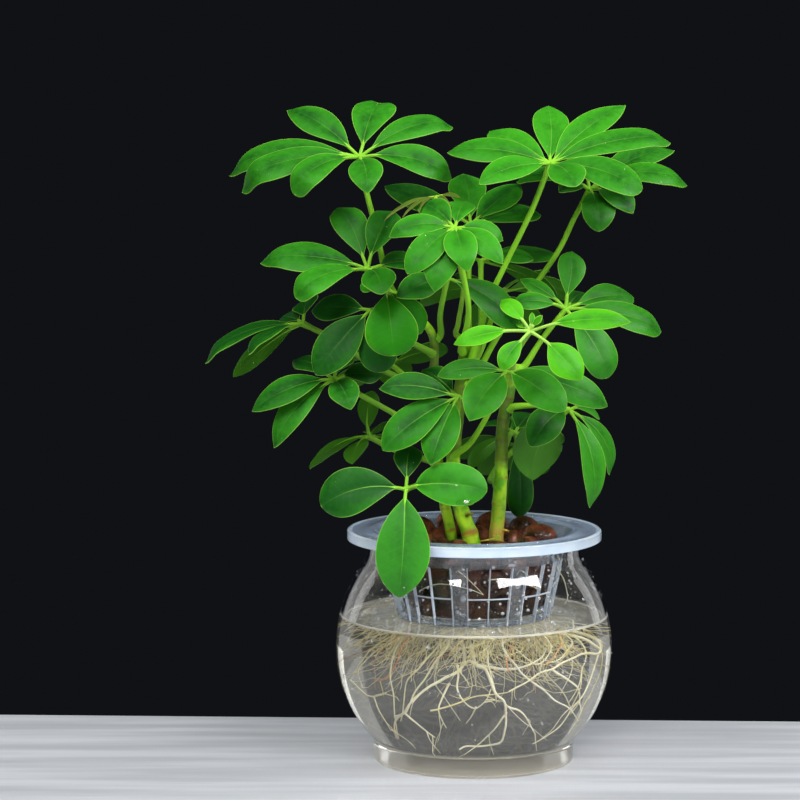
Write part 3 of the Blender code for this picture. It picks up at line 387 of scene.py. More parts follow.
def spline_through(points: list, count: int, fineness: int = 12) -> list:
    """A smooth run through some points.

    Args:
        points: the points it passes through.
        count: how many points to return.
        fineness: steps between two neighbours while it is measured.

    Returns:
        Points evenly spread along the run.
    """
    knots = [2 * points[0] - points[1], *points, 2 * points[-1] - points[-2]]
    fine = []
    for a, b, c, d in zip(knots, knots[1:], knots[2:], knots[3:]):
        fine += [between_knots(a, b, c, d, step / fineness) for step in range(fineness)]
    fine.append(points[-1].copy())
    travelled = [0.0]
    for a, b in zip(fine, fine[1:]):
        travelled.append(travelled[-1] + (b - a).length)
    spread = []
    for index in range(count):
        goal = travelled[-1] * index / (count - 1)
        at = max(1, next((i for i, s in enumerate(travelled) if s >= goal - 1e-9), len(fine) - 1))
        share = (goal - travelled[at - 1]) / max(1e-9, travelled[at] - travelled[at - 1])
        spread.append(fine[at - 1].lerp(fine[at], share))
    return spread


def quadratic(start: Vector, bend: Vector, end: Vector, t: float) -> Vector:
    """A point on the bow from start to end that is pulled towards a bend."""
    return start.lerp(bend, t).lerp(bend.lerp(end, t), t)


def bearing_of(degrees: float) -> Vector:
    """The level unit vector on this bearing."""
    angle = math.radians(degrees)
    return Vector((math.cos(angle), math.sin(angle), 0.0))


def eased(low: float, high: float, value: float) -> float:
    """How far a value has come from low to high, starting and ending softly."""
    share = min(1.0, max(0.0, (value - low) / (high - low)))
    return share * share * (3.0 - 2.0 * share)


def hump(distance: float, width: float) -> float:
    """A smooth hump that is 1 in its middle and sinks away over this width."""
    return math.exp(-(distance / width) ** 2)


def fresh_object(name: str, data: ID) -> Object:
    """A new object in the scene.

    Args:
        name: its name.
        data: the mesh, lamp or camera that it holds.

    Returns:
        The object, at the origin.
    """
    made = bpy.data.objects.new(name, data)
    bpy.context.scene.collection.objects.link(made)
    return made


def keep_values(mesh: Mesh, values: dict) -> None:
    """Writes named numbers, one for each point, onto a mesh."""
    for name, numbers in values.items():
        mesh.attributes.new(name, "FLOAT", "POINT").data.foreach_set("value", numbers)


def turn_outward(mesh: Mesh) -> None:
    """Turns closed shells to face outwards.

    Args:
        mesh: the mesh that they are in.
    """
    shape = bmesh.new()
    shape.from_mesh(mesh)
    bmesh.ops.recalc_face_normals(shape, faces=shape.faces)
    shape.to_mesh(mesh)
    shape.free()


class Draft:
    """A mesh in the making: points in millimetres, faces, a UV place and named values for each point."""

    def __init__(self) -> None:
        """Starts empty."""
        self.points: list = []
        self.faces: list = []
        self.places: list = []
        self.values: dict = {}

    def add(self, points: list, faces: list, places: list = (), **values: list) -> None:
        """Adds a patch of points and faces.

        Args:
            points: the patch's points.
            faces: its faces, as numbers of its own points.
            places: each point's UV place; left out, they lie at nought.
            values: each point's named values.
        """
        first = len(self.points)
        self.points += [tuple(point) for point in points]
        self.faces += [tuple(first + corner for corner in face) for face in faces]
        self.places += list(places) if places else [(0.0, 0.0)] * len(points)
        for name in values:
            self.values.setdefault(name, [0.0] * first)
        for name, kept in self.values.items():
            kept += list(values.get(name, [0.0] * len(points)))

    def grid(self, rows: list, closed: bool = False, **values: list) -> None:
        """Adds a sheet of quads.

        Args:
            rows: its rows of points.
            closed: whether each row's end is joined to its start.
            values: each point's UV place and named values.
        """
        width = len(rows[0])
        faces = []
        for row in range(0, (len(rows) - 1) * width, width):
            for column in range(width if closed else width - 1):
                beside = (column + 1) % width
                faces.append((row + column, row + beside, row + width + beside, row + width + column))
        self.add([point for row in rows for point in row], faces, **values)

    def tube(self, rings: list, **values: list) -> None:
        """Adds a tube with a face over each end.

        Args:
            rings: its rings of points.
            values: each point's named values.
        """
        first, width = len(self.points), len(rings[0])
        self.grid(rings, closed=True, **values)
        last = len(self.points) - width
        self.faces += [tuple(range(first, first + width)), tuple(range(last, last + width))[::-1]]

    def turn(self, profile: list, steps: int) -> None:
        """Adds a surface of revolution about Z; an end of it on the axis is closed with a fan.

        Args:
            profile: pairs of radius and height that run down its outer side.
            steps: how many columns of faces go round.
        """
        angles = [math.tau * step / steps for step in range(steps)]
        rows = [[(radius * math.cos(angle), radius * math.sin(angle), height) for angle in angles]
                for radius, height in profile if radius > ON_AXIS]
        first = len(self.points)
        self.grid(rows, closed=True)
        for (radius, height), row, order in ((profile[0], 0, 1), (profile[-1], len(rows) - 1, -1)):
            if radius > ON_AXIS:
                continue
            pole = len(self.points)
            self.add([(0.0, 0.0, height)], [])
            start = first + row * steps
            for step in range(steps):
                corners = (start + step, pole, start + (step + 1) % steps)
                self.faces.append(corners[::order])

    def mesh(self, name: str, smooth: bool = True, outward: bool = True) -> Mesh:
        """The finished mesh in metres.

        Args:
            name: the mesh's name.
            smooth: whether its faces are shaded smooth.
            outward: whether its faces are turned to point outwards.

        Returns:
            The mesh, with its UV map and its named values.
        """
        made = bpy.data.meshes.new(name)
        made.from_pydata([(x * MM, y * MM, z * MM) for x, y, z in self.points], [], self.faces)
        if any(place != (0.0, 0.0) for place in self.places):
            corners = np.zeros(len(made.loops), dtype=np.int32)
            made.loops.foreach_get("vertex_index", corners)
            layer = made.uv_layers.new(name="UVMap")
            layer.data.foreach_set("uv", np.array(self.places, dtype=np.float32)[corners].ravel())
        keep_values(made, self.values)
        if outward:
            turn_outward(made)
        if smooth:
            made.shade_smooth()
        return made


def dress(mesh: Mesh, finish: Material, *others: tuple) -> Mesh:
    """Gives a mesh a finish, and some of its faces other ones.

    Args:
        mesh: the mesh.
        finish: the finish of most faces.
        others: pairs of another finish and a test that is true for the middle, in metres, of its faces.

    Returns:
        The mesh.
    """
    mesh.materials.append(finish)
    for number, (other, suits) in enumerate(others, start=1):
        mesh.materials.append(other)
        for face in mesh.polygons:
            if suits(face.center):
                face.material_index = number
    return mesh


def joined(name: str, meshes: list) -> Object:
    """One object made of several meshes; their UV map and named values are kept.

    Args:
        name: the object's name.
        meshes: the meshes, which are used up.

    Returns:
        The object, at the origin.
    """
    objects = [fresh_object(f"{name}_{index}", mesh) for index, mesh in enumerate(meshes)]
    if len(objects) > 1:
        with bpy.context.temp_override(active_object=objects[0], selected_editable_objects=objects):
            bpy.ops.object.join()
    objects[0].name = name
    objects[0].data.name = name
    return objects[0]


def hand_over(piece: Object, slot: str, *nodes: str) -> None:
    """Sets a piece on its one body, hides the CAD nodes that it stands for, and reports it.

    Args:
        piece: the finished piece.
        slot: not used.
        nodes: the CAD nodes that it stands for.
    """
    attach(piece, BODY)
    if nodes:
        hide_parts(*nodes)
    piece.data.calc_loop_triangles()
    LOG.info("%s: %d triangles", piece.name, len(piece.data.loop_triangles))


class Wiring:
    """Adds nodes to one tree and joins them up."""

    def __init__(self, tree: NodeTree) -> None:
        """Takes the tree that it works on."""
        self.tree = tree

    def node(self, kind: str, inputs: dict | None = None, **settings: object) -> Node:
        """A new node.

        Args:
            kind: the node's type name.
            inputs: values or sockets for its inputs, by name or number.
            settings: its other settings.

        Returns:
            The node.
        """
        made = self.tree.nodes.new(kind)
        for name, value in settings.items():
            setattr(made, name, value)
        for name, value in (inputs or {}).items():
            self.feed(made.inputs[name], value)
        return made

    def feed(self, socket: NodeSocket, value: object) -> None:
        """Sets an input to a plain value, or links it.

        Args:
            socket: the input.
            value: a number, a colour without its alpha, a socket, or a node for its first output.
        """
        if isinstance(value, Node):
            value = value.outputs[0]
        if isinstance(value, NodeSocket):
            self.tree.links.new(value, socket)
        else:
            socket.default_value = (*value, 1.0) if socket.type == "RGBA" else value

    def maths(self, operation: str, a: object, b: object = 0.0, clamp: bool = False) -> NodeSocket:
        """The socket that gives the result of a sum on one or two values."""
        return self.node("ShaderNodeMath", {0: a, 1: b}, operation=operation, use_clamp=clamp).outputs[0]

    def plus(self, a: object, b: object, clamp: bool = False) -> NodeSocket:
        """The socket that gives a and b together."""
        return self.maths("ADD", a, b, clamp)

    def minus(self, a: object, b: object) -> NodeSocket:
        """The socket that gives a less b."""
        return self.maths("SUBTRACT", a, b)

    def times(self, a: object, b: object) -> NodeSocket:
        """The socket that gives a times b."""
        return self.maths("MULTIPLY", a, b)

    def ranged(self, value: object, low: object, high: object, to_low: float = 0.0,
               to_high: float = 1.0) -> NodeSocket:
        """The socket that gives a value moved softly from one range to another."""
        inputs = {"Value": value, "From Min": low, "From Max": high, "To Min": to_low, "To Max": to_high}
        return self.node("ShaderNodeMapRange", inputs, interpolation_type="SMOOTHSTEP").outputs["Result"]

    def mixed(self, share: object, a: object, b: object) -> NodeSocket:
        """The socket that gives a colour between two."""
        return self.node("ShaderNodeMix", {0: share, 6: a, 7: b}, data_type="RGBA").outputs[2]

    def value_of(self, name: str) -> NodeSocket:
        """The socket that gives a surface's named value."""
        return self.node("ShaderNodeAttribute", attribute_name=name).outputs["Fac"]


class GroupTree(Wiring):
    """A node group with named inputs and outputs."""

    def __init__(self, name: str, kind: str, inputs: dict, outputs: dict) -> None:
        """Makes the group.

        Args:
            name: the group's name.
            kind: ShaderNodeTree or GeometryNodeTree.
            inputs: each input's starting number, or its socket type.
            outputs: each output's socket type.
        """
        super().__init__(bpy.data.node_groups.new(name, kind))
        for label, start in inputs.items():
            socket = {int: "NodeSocketInt", float: "NodeSocketFloat"}.get(type(start), start)
            made = self.tree.interface.new_socket(label, in_out="INPUT", socket_type=socket)
            if socket is not start:
                made.default_value = start
        for label, socket in outputs.items():
            self.tree.interface.new_socket(label, in_out="OUTPUT", socket_type=socket)
        self.given = self.node("NodeGroupInput").outputs
        self.result = self.node("NodeGroupOutput").inputs


class Rule(GroupTree):
    """A Geometry Nodes tree that ends in realised, shaded geometry of one material."""

    def __init__(self, name: str, **inputs: object) -> None:
        """Makes the tree with a geometry, a material and further inputs.

        Args:
            name: the tree's name.
            inputs: the further inputs' usual values, by name.
        """
        shape = {"Geometry": "NodeSocketGeometry"}
        inputs = {**shape, "Material": "NodeSocketMaterial", **inputs}
        super().__init__(name, "GeometryNodeTree", inputs, shape)

    def named(self, name: str, kind: str) -> Node:
        """The node that reads a named value of this kind."""
        return self.node("GeometryNodeInputNamedAttribute", {"Name": name}, data_type=kind)

    def copies(self, points: object, shape: object, turn: object, scale: object = (1.0, 1.0, 1.0)) -> Node:
        """The node that sets a copy of a shape on each point."""
        inputs = {"Points": points, "Instance": shape, "Scale": scale, "Rotation": turn}
        return self.node("GeometryNodeInstanceOnPoints", inputs)

    def end(self, geometry: Node) -> None:
        """Realises the geometry, shades it smooth and gives it the material.

        Args:
            geometry: the node that gives it.
        """
        real = self.node("GeometryNodeRealizeInstances", {"Geometry": geometry})
        shade = self.node("GeometryNodeSetShadeSmooth", {"Geometry": real, "Shade Smooth": True})
        dressed = self.node("GeometryNodeSetMaterial",
                            {"Geometry": shade, "Material": self.given["Material"]})
        self.feed(self.result["Geometry"], dressed)

    def apply(self, name: str, source: Mesh, **values: object) -> Mesh:
        """Runs the tree on a mesh.

        Args:
            name: a name for the result.
            source: the mesh that goes in.
            values: the tree's inputs.

        Returns:
            The result as a plain mesh.
        """
        holder = fresh_object(name, source)
        modifier = holder.modifiers.new(name, "NODES")
        modifier.node_group = self.tree
        for item in self.tree.interface.items_tree:
            if item.in_out == "INPUT" and item.name in values:
                modifier[item.identifier] = values[item.name]
        bpy.context.view_layer.update()
        graph = bpy.context.evaluated_depsgraph_get()
        result = bpy.data.meshes.new_from_object(holder.evaluated_get(graph))
        result.name = name
        bpy.data.objects.remove(holder)
        return result


class RodRule(Rule):
    """Grows round rods along the edges of a mesh, as thick as its value `thickness` says."""

    def __init__(self) -> None:
        """Builds the tree."""
        super().__init__("grow_rods", Sides=8)
        curve = self.node("GeometryNodeMeshToCurve", {"Mesh": self.given["Geometry"]})
        thickness = self.named("thickness", "FLOAT")
        ring = self.node("GeometryNodeCurvePrimitiveCircle",
                         {"Resolution": self.given["Sides"], "Radius": 1.0})
        inputs = {"Curve": curve, "Profile Curve": ring, "Scale": thickness, "Fill Caps": True}
        self.end(self.node("GeometryNodeCurveToMesh", inputs))

    def grow(self, name: str, strands: list, finish: Material, sides: int, **values: list) -> Mesh:
        """Grows rods along loose lines.

        Args:
            name: a name for the result.
            strands: for each line its points and its radii, in millimetres.
            finish: the rods' material.
            sides: how many faces go round a rod.
            values: for each line one number, kept on all its points under this name.

        Returns:
            The rods, facing outwards.
        """
        points, edges = [], []
        kept = {label: [] for label in ("thickness", *values)}
        for index, (line, radii) in enumerate(strands):
            first = len(points)
            points += [tuple(point * MM) for point in line]
            edges += [(first + step, first + step + 1) for step in range(len(line) - 1)]
            kept["thickness"] += [radius * MM for radius in radii]
            for label, numbers in values.items():
                kept[label] += [numbers[index]] * len(line)
        lines = bpy.data.meshes.new(name)
        lines.from_pydata(points, edges, [])
        keep_values(lines, kept)
        rods = self.apply(name, lines, Sides=sides, Material=finish)
        turn_outward(rods)
        return rods


class RingRule(Rule):
    """Sets copies of a shape evenly round the Z axis."""

    def __init__(self) -> None:
        """Builds the tree."""
        super().__init__("set_in_a_ring", Count=9, Turn=0.0)
        points = self.node("GeometryNodePoints", {"Count": self.given["Count"]})
        index = self.node("GeometryNodeInputIndex")
        step = self.maths("DIVIDE", math.tau, self.given["Count"])
        turn = self.plus(self.times(index, step), self.given["Turn"])
        self.end(self.copies(points, self.given["Geometry"], self.node("ShaderNodeCombineXYZ", {"Z": turn})))


class StoneRule(Rule):
    """Puts a lumpy stone on each point, with the point's own size, squeeze and turn."""

    def __init__(self) -> None:
        """Builds the tree."""
        super().__init__("round_stones", Lumps=0.0006, Scale=120.0, Fineness=5)
        ball = self.node("GeometryNodeMeshIcoSphere", {"Radius": MM, "Subdivisions": self.given["Fineness"]})
        squeeze = self.named("squeeze", "FLOAT_VECTOR")
        stones = self.copies(self.given["Geometry"], ball, self.named("turn", "FLOAT_VECTOR"), squeeze)
        real = self.node("GeometryNodeRealizeInstances", {"Geometry": stones})
        place = self.node("GeometryNodeInputPosition")
        cloud = self.node("ShaderNodeTexNoise",
                          {"Vector": place, "Scale": self.given["Scale"], "Detail": 4.0})
        height = self.times(self.minus(cloud, 0.5), self.given["Lumps"])
        facing = self.node("GeometryNodeInputNormal")
        push = self.node("ShaderNodeVectorMath", {0: facing, "Scale": height}, operation="SCALE")
        self.end(self.node("GeometryNodeSetPosition", {"Geometry": real, "Offset": push}))

    def lay(self, name: str, stones: list, finish: Material, **values: object) -> Mesh:
        """Lays some stones.

        Args:
            name: a name for the result.
            stones: for each its place in metres, its half sizes in millimetres and its turn.
            finish: their material.
            values: the tree's further inputs.

        Returns:
            The stones.
        """
        places, *columns = zip(*stones)
        seeds = bpy.data.meshes.new(name)
        seeds.from_pydata([tuple(place) for place in places], [], [])
        for label, column in zip(("squeeze", "turn"), columns):
            numbers = np.array([tuple(row) for row in column], dtype=np.float32).ravel()
            seeds.attributes.new(label, "FLOAT_VECTOR", "POINT").data.foreach_set("vector", numbers)
        return self.apply(name, seeds, Material=finish, **values)


class BeadRule(Rule):
    """Strews round beads of water over a surface, a little proud of it."""

    def __init__(self) -> None:
        """Builds the tree."""
        super().__init__("strew_beads", Density=20000.0, Smallest=0.0002, Largest=0.0007, Flatness=0.6,
                         Seed=1)
        given = self.given
        spots = self.node("GeometryNodeDistributePointsOnFaces",
                          {"Mesh": given["Geometry"], "Density": given["Density"], "Seed": given["Seed"]})
        bead = self.node("GeometryNodeMeshUVSphere", {"Segments": 8, "Rings": 5, "Radius": 1.0})
        chance = self.node("FunctionNodeRandomValue", {"Seed": given["Seed"]}, data_type="FLOAT")
        skewed = self.maths("POWER", chance.outputs[1], 2.5)
        spread = self.minus(given["Largest"], given["Smallest"])
        size = self.plus(self.times(skewed, spread), given["Smallest"])
        low = self.times(size, given["Flatness"])
        scale = self.node("ShaderNodeCombineXYZ", {"X": size, "Y": size, "Z": low})
        self.end(self.copies(spots, bead, spots.outputs["Rotation"], scale))

    def strew(self, name: str, surface: Mesh, finish: Material, density: float, sizes: tuple, seed: int,
              flatness: float = 0.6) -> Mesh:
        """Strews a surface.

        Args:
            name: a name for the result.
            surface: the mesh that is strewn.
            finish: the beads' material.
            density: beads to a square metre.
            sizes: the smallest and the largest radius in millimetres.
            seed: what their places are drawn from.
            flatness: their height as a share of their radius.

        Returns:
            The beads.
        """
        smallest, largest = sizes
        return self.apply(name, surface, Material=finish, Density=density, Smallest=smallest * MM,
                          Largest=largest * MM, Flatness=flatness, Seed=seed)


class Mottle(GroupTree):
    """The shared effect of soft patches or specks, as a mask and the plain noise under it."""

    def __init__(self) -> None:
        """Builds the group."""
        numbers = {"Scale": 100.0, "Detail": 3.0, "Low": 0.4, "High": 0.6}
        outputs = dict.fromkeys(("Mask", "Height"), "NodeSocketFloat")
        super().__init__("mottle", "ShaderNodeTree", numbers, outputs)
        place = self.node("ShaderNodeTexCoord").outputs["Object"]
        cloud = self.node("ShaderNodeTexNoise",
                          {"Vector": place, "Scale": self.given["Scale"], "Detail": self.given["Detail"]})
        self.feed(self.result["Mask"], self.ranged(cloud, self.given["Low"], self.given["High"]))
        self.feed(self.result["Height"], cloud)


class LeafMarks(GroupTree):
    """The shared marks of a blade: its midrib, side veins, thin rim and middle, as masks; the middle is where
    painted shade goes, and the rim is partly a painted highlight.
    """

    def __init__(self) -> None:
        """Builds the group."""
        outputs = dict.fromkeys(("Midrib", "Veins", "Rim", "Middle"), "NodeSocketFloat")
        super().__init__("leaf_marks", "ShaderNodeTree", {"Veins": 11.0, "Slant": 1.5}, outputs)
        along, across = self.node("ShaderNodeSeparateXYZ",
                                  {0: self.node("ShaderNodeUVMap", uv_map="UVMap")}).outputs[:2]
        rib, edge = self.value_of("rib"), self.value_of("edge")
        fade = self.ranged(along, 0.35, 1.0, 1.0, 0.25)
        narrowing = self.maths("DIVIDE", rib, self.minus(1.3, along))
        line = self.ranged(narrowing, 0.05, 0.27, 1.0, 0.0)
        self.feed(self.result["Midrib"], self.times(line, fade))
        # The rim mask, in the leaf's finish, is partly a painted highlight along the edge
        self.feed(self.result["Rim"], self.ranged(edge, 0.08, 0.45, 1.0, 0.0))
        # The middle mask, along the midrib, carries painted shade in the leaf's finish
        aside = self.maths("ABSOLUTE", self.minus(across, 0.5))
        self.feed(self.result["Middle"], self.ranged(aside, 0.05, 0.5, 1.0, 0.0))
        run = self.minus(self.times(along, self.given["Veins"]),
                         self.times(aside, self.times(self.given["Slant"], 2.0)))
        wave = self.maths("ABSOLUTE", self.minus(self.maths("FRACT", run), 0.5))
        self.feed(self.result["Veins"], self.ranged(wave, 0.0, 0.11, 1.0, 0.0))


MOTTLE = Mottle()
MARKS = LeafMarks()


class Shade(Wiring):
    """Builds one material."""

    def __init__(self, name: str) -> None:
        """Starts an empty material.

        Args:
            name: its name.
        """
        self.material = bpy.data.materials.new(name)
        self.material.use_nodes = True
        super().__init__(self.material.node_tree)
        self.tree.nodes.clear()

    def effect(self, group: GroupTree, **values: object) -> NodeOutputs:
        """Places a shared effect and returns its outputs."""
        return self.node("ShaderNodeGroup", values, node_tree=group.tree).outputs

    def mottled(self, scale: float, detail: float, low: float, high: float) -> NodeOutputs:
        """Places the shared patches and returns their outputs."""
        return self.effect(MOTTLE, Scale=scale, Detail=detail, Low=low, High=high)

    def bump(self, height: object, strength: float, distance: float) -> NodeSocket:
        """The socket that gives normals raised by a height."""
        inputs = {"Height": height, "Strength": strength, "Distance": distance}
        return self.node("ShaderNodeBump", inputs).outputs[0]

    def surface(self, **values: object) -> Node:
        """A Principled shader with these inputs, _ standing for a space in their names."""
        inputs = {label.replace("_", " "): value for label, value in values.items()}
        return self.node("ShaderNodeBsdfPrincipled", inputs)

    def finish(self, shader: Node) -> Material:
        """Joins the shader to the output and returns the material."""
        self.node("ShaderNodeOutputMaterial", {"Surface": shader})
        return self.material


@dataclass(frozen=True)
class LeafSkin:
    """A leaf's finish: colours of its shaded and bright parts, rim, midrib, underside, stalks, petiole
    painted as lit, and glow.
    """

    name: str
    deep: tuple
    bright: tuple
    rib: tuple
    vein: tuple
    under: tuple
    stalk: tuple
    lit_stalk: tuple
    glow: tuple
    roughness: float = 0.44

    def green(self, shade: Shade, lines: NodeOutputs, patches: NodeOutputs,
              flecks: NodeOutputs) -> NodeSocket:
        """The colour of a blade's upper side.

        Args:
            shade: the material.
            lines: the leaf's marks.
            patches: soft patches that deepen it.
            flecks: finer ones.

        Returns:
            The socket that gives it.
        """
        # Painted shade: the blade is darkened along its middle, more deeply in the soft patches
        middle = shade.plus(0.1, shade.times(patches["Mask"], 0.55))
        middle = shade.times(lines["Middle"], shade.times(middle, -1.0))
        soft = shade.times(shade.minus(patches["Mask"], 0.4), 0.22)
        soft = shade.plus(soft, shade.times(flecks["Mask"], 0.12))
        share = shade.plus(shade.value_of("tone"), shade.plus(middle, soft), clamp=True)
        green = shade.mixed(share, self.deep, self.bright)
        green = shade.mixed(shade.times(lines["Veins"], 0.035), green, self.rib)
        green = shade.mixed(shade.times(lines["Midrib"], shade.value_of("ribs")), green, self.vein)
        # Pale rim: the margin's own paler green, and partly a painted highlight of light catching the edge
        return shade.mixed(shade.times(lines["Rim"], 0.6), green, self.rib)

    def material(self) -> Material:
        """The material: green deepened in soft patches, with a pale midrib, faint veins and a thin rim.

        Returns:
            The material.
        """
        shade = Shade(self.name)
        lines = shade.effect(MARKS)
        patches = shade.mottled(95.0, 3.0, 0.38, 0.66)
        grain = shade.mottled(1500.0, 2.0, 0.3, 0.7)
        flecks = shade.mottled(420.0, 4.0, 0.35, 0.65)
        green = self.green(shade, lines, patches, flecks)
        olive = shade.mixed(shade.times(lines["Midrib"], 0.6), self.under, self.vein)
        blade = shade.mixed(shade.value_of("top"), olive, green)
        # Painted light: the petiole is mixed towards lit_stalk as brightly as its leaflets, the stalks much
        # less
        stalk = shade.mixed(shade.value_of("lit"), self.stalk, self.lit_stalk)
        stalk = shade.mixed(shade.times(patches["Mask"], 0.12), stalk, self.deep)
        colour = shade.mixed(shade.value_of("blade"), stalk, blade)
        veins = shade.times(shade.times(lines["Veins"], shade.value_of("blade")), 0.5)
        height = shade.minus(shade.times(grain["Height"], 0.5), veins)
        rough = shade.plus(self.roughness, shade.times(flecks["Mask"], 0.14))
        gloss = shade.surface(Base_Color=colour, Roughness=rough, Coat_Weight=0.04, Coat_Roughness=0.3,
                              Specular_IOR_Level=0.3, Normal=shade.bump(height, 0.2, 0.0001))
        through = shade.node("ShaderNodeBsdfTranslucent", {"Color": self.glow})
        return shade.finish(shade.node("ShaderNodeMixShader", {0: 0.14, 1: gloss, 2: through}))


@dataclass(frozen=True)
class ClearFinish:
    """A see-through finish: two near colours, bending of light, polish, clearness, shadow and waves.

    clearness is the share of light that goes on through; the rest is scattered back, as by frosted plastic.
    """

    name: str
    colour: tuple
    faint: tuple
    ior: float
    roughness: float
    clearness: float
    shadow: tuple
    uneven: float = 0.02
    waves: float = 0.06

    def material(self) -> Material:
        """The material: faint waves, a slightly uneven polish and tint, and clear to rays of shadow.

        Returns:
            The material.
        """
        shade = Shade(self.name)
        cloud = shade.mottled(60.0, 2.0, 0.35, 0.7)
        fine = shade.mottled(700.0, 3.0, 0.45, 0.7)
        rough = shade.plus(self.roughness, shade.times(fine["Mask"], self.uneven))
        clear = shade.surface(Base_Color=shade.mixed(cloud["Mask"], self.colour, self.faint),
                              Roughness=rough, IOR=self.ior, Transmission_Weight=self.clearness,
                              Normal=shade.bump(cloud["Height"], self.waves, 0.0004))
        shadow = shade.node("ShaderNodeLightPath").outputs["Is Shadow Ray"]
        lit = shade.node("ShaderNodeBsdfTransparent", {"Color": self.shadow})
        return shade.finish(shade.node("ShaderNodeMixShader", {0: shadow, 1: clear, 2: lit}))


@dataclass(frozen=True)
class ClayFinish:
    """Wet fired clay: dark red-brown, pitted, with a glossy film of water, and painted shade deep in the
    heap.
    """

    name: str = "wet_clay"
    dark: tuple = (0.022, 0.007, 0.004)
    light: tuple = (0.2, 0.055, 0.022)
    painted_shade_colour: tuple = (0.03, 0.02, 0.014)
    darkest_below: float = 0.09
    unshaded_above: float = 0.114

    def material(self) -> Material:
        """The material, with pits, brighter rubbed places and glints.

        Returns:
            The material.
        """
        shade = Shade(self.name)
        broad = shade.mottled(140.0, 4.0, 0.36, 0.66)
        pits = shade.mottled(1100.0, 5.0, 0.42, 0.62)
        colour = shade.mixed(broad["Mask"], self.dark, self.light)
        colour = shade.mixed(shade.times(pits["Mask"], 0.35), colour, self.dark)
        # Painted shade: lower in the heap the colour goes over to a dark shade colour, as little light gets
        # in there
        place = shade.node("ShaderNodeTexCoord").outputs["Object"]
        height = shade.node("ShaderNodeSeparateXYZ", {0: place}).outputs["Z"]
        depth = shade.ranged(height, self.darkest_below, self.unshaded_above, 0.8, 0.0)
        colour = shade.mixed(depth, colour, self.painted_shade_colour)
        rough = shade.ranged(pits["Mask"], 0.0, 1.0, 0.24, 0.5)
        return shade.finish(shade.surface(Base_Color=colour, Roughness=rough, Coat_Weight=0.35,
                                          Coat_Roughness=0.05, Specular_IOR_Level=0.35,
                                          Normal=shade.bump(pits["Height"], 0.6, 0.0006)))


@dataclass(frozen=True)
class BarkFinish:
    """Green bark with tan leaf scars, browner towards an old foot, and painted shade where the foliage hangs
    over it.
    """

    name: str = "green_bark"
    green: tuple = (0.13, 0.47, 0.008)
    lime: tuple = (0.44, 0.8, 0.025)
    scar: tuple = (0.36, 0.19, 0.03)
    brown: tuple = (0.42, 0.24, 0.06)
    shaded: tuple = (0.06, 0.09, 0.012)

    def material(self) -> Material:
        """The material, which reads the trunk's values for its scars, its age and its painted shade.

        Returns:
            The material.
        """
        shade = Shade(self.name)
        broad = shade.mottled(160.0, 3.0, 0.35, 0.65)
        fine = shade.mottled(900.0, 4.0, 0.5, 0.66)
        colour = shade.mixed(broad["Mask"], self.green, self.lime)
        worn = shade.maths("MAXIMUM", shade.times(broad["Mask"], 0.9), fine["Mask"])
        aged = shade.maths("MULTIPLY", shade.value_of("age"), worn, clamp=True)
        colour = shade.mixed(aged, colour, self.brown)
        colour = shade.mixed(shade.value_of("scar"), colour, self.scar)
        # Painted shade: the bark goes over to the shaded colour where the foliage would shade it
        colour = shade.mixed(shade.times(shade.value_of("dull"), 0.75), colour, self.shaded)
        normal = shade.bump(shade.plus(fine["Height"], broad["Height"]), 0.5, 0.0003)
        rough = shade.ranged(fine["Mask"], 0.0, 1.0, 0.38, 0.6)
        return shade.finish(shade.surface(Base_Color=colour, Roughness=rough, Normal=normal,
                                          Coat_Weight=0.15, Coat_Roughness=0.25))


@dataclass(frozen=True)
class RootFinish:
    """Roots: cream, straw or red as each strand's value `tint` says."""

    name: str = "root_cream"
    cream: tuple = (1.0, 0.97, 0.8)
    straw: tuple = (0.95, 0.82, 0.32)
    red: tuple = (0.8, 0.3, 0.09)

    def material(self) -> Material:
        """The material, a little blotched along each strand.

        Returns:
            The material.
        """
        shade = Shade(self.name)
        tint = shade.value_of("tint")
        blotch = shade.mottled(300.0, 3.0, 0.35, 0.7)
        share = shade.plus(shade.times(tint, 1.3), shade.times(blotch["Mask"], 0.18), clamp=True)
        colour = shade.mixed(share, self.cream, self.straw)
        colour = shade.mixed(shade.ranged(tint, 0.8, 0.95), colour, self.red)
        normal = shade.bump(blotch["Height"], 0.3, 0.0002)
        return shade.finish(shade.surface(Base_Color=colour, Roughness=0.5, Normal=normal,
                                          Subsurface_Weight=0.15, Subsurface_Radius=(0.002, 0.0015, 0.0006),
                                          Subsurface_Scale=1.0))


@dataclass(frozen=True)
class FloorFinish:
    """A plain pale table top with faint long grain."""

    name: str = "pale_floor"
    light: tuple = (0.5, 0.52, 0.55)
    dark: tuple = (0.38, 0.397, 0.425)

    def material(self) -> Material:
        """The material, its grain running from side to side.

        Returns:
            The material.
        """
        shade = Shade(self.name)
        place = shade.node("ShaderNodeTexCoord").outputs["Object"]
        stretched = shade.node("ShaderNodeMapping", {"Vector": place, "Scale": (5.0, 60.0, 1.0)})
        grain = shade.node("ShaderNodeTexNoise", {"Vector": stretched, "Scale": 1.0, "Detail": 6.0})
        colour = shade.mixed(shade.ranged(grain, 0.35, 0.65), self.dark, self.light)
        return shade.finish(shade.surface(Base_Color=colour, Roughness=0.45,
                                          Normal=shade.bump(grain, 0.1, 0.0005)))


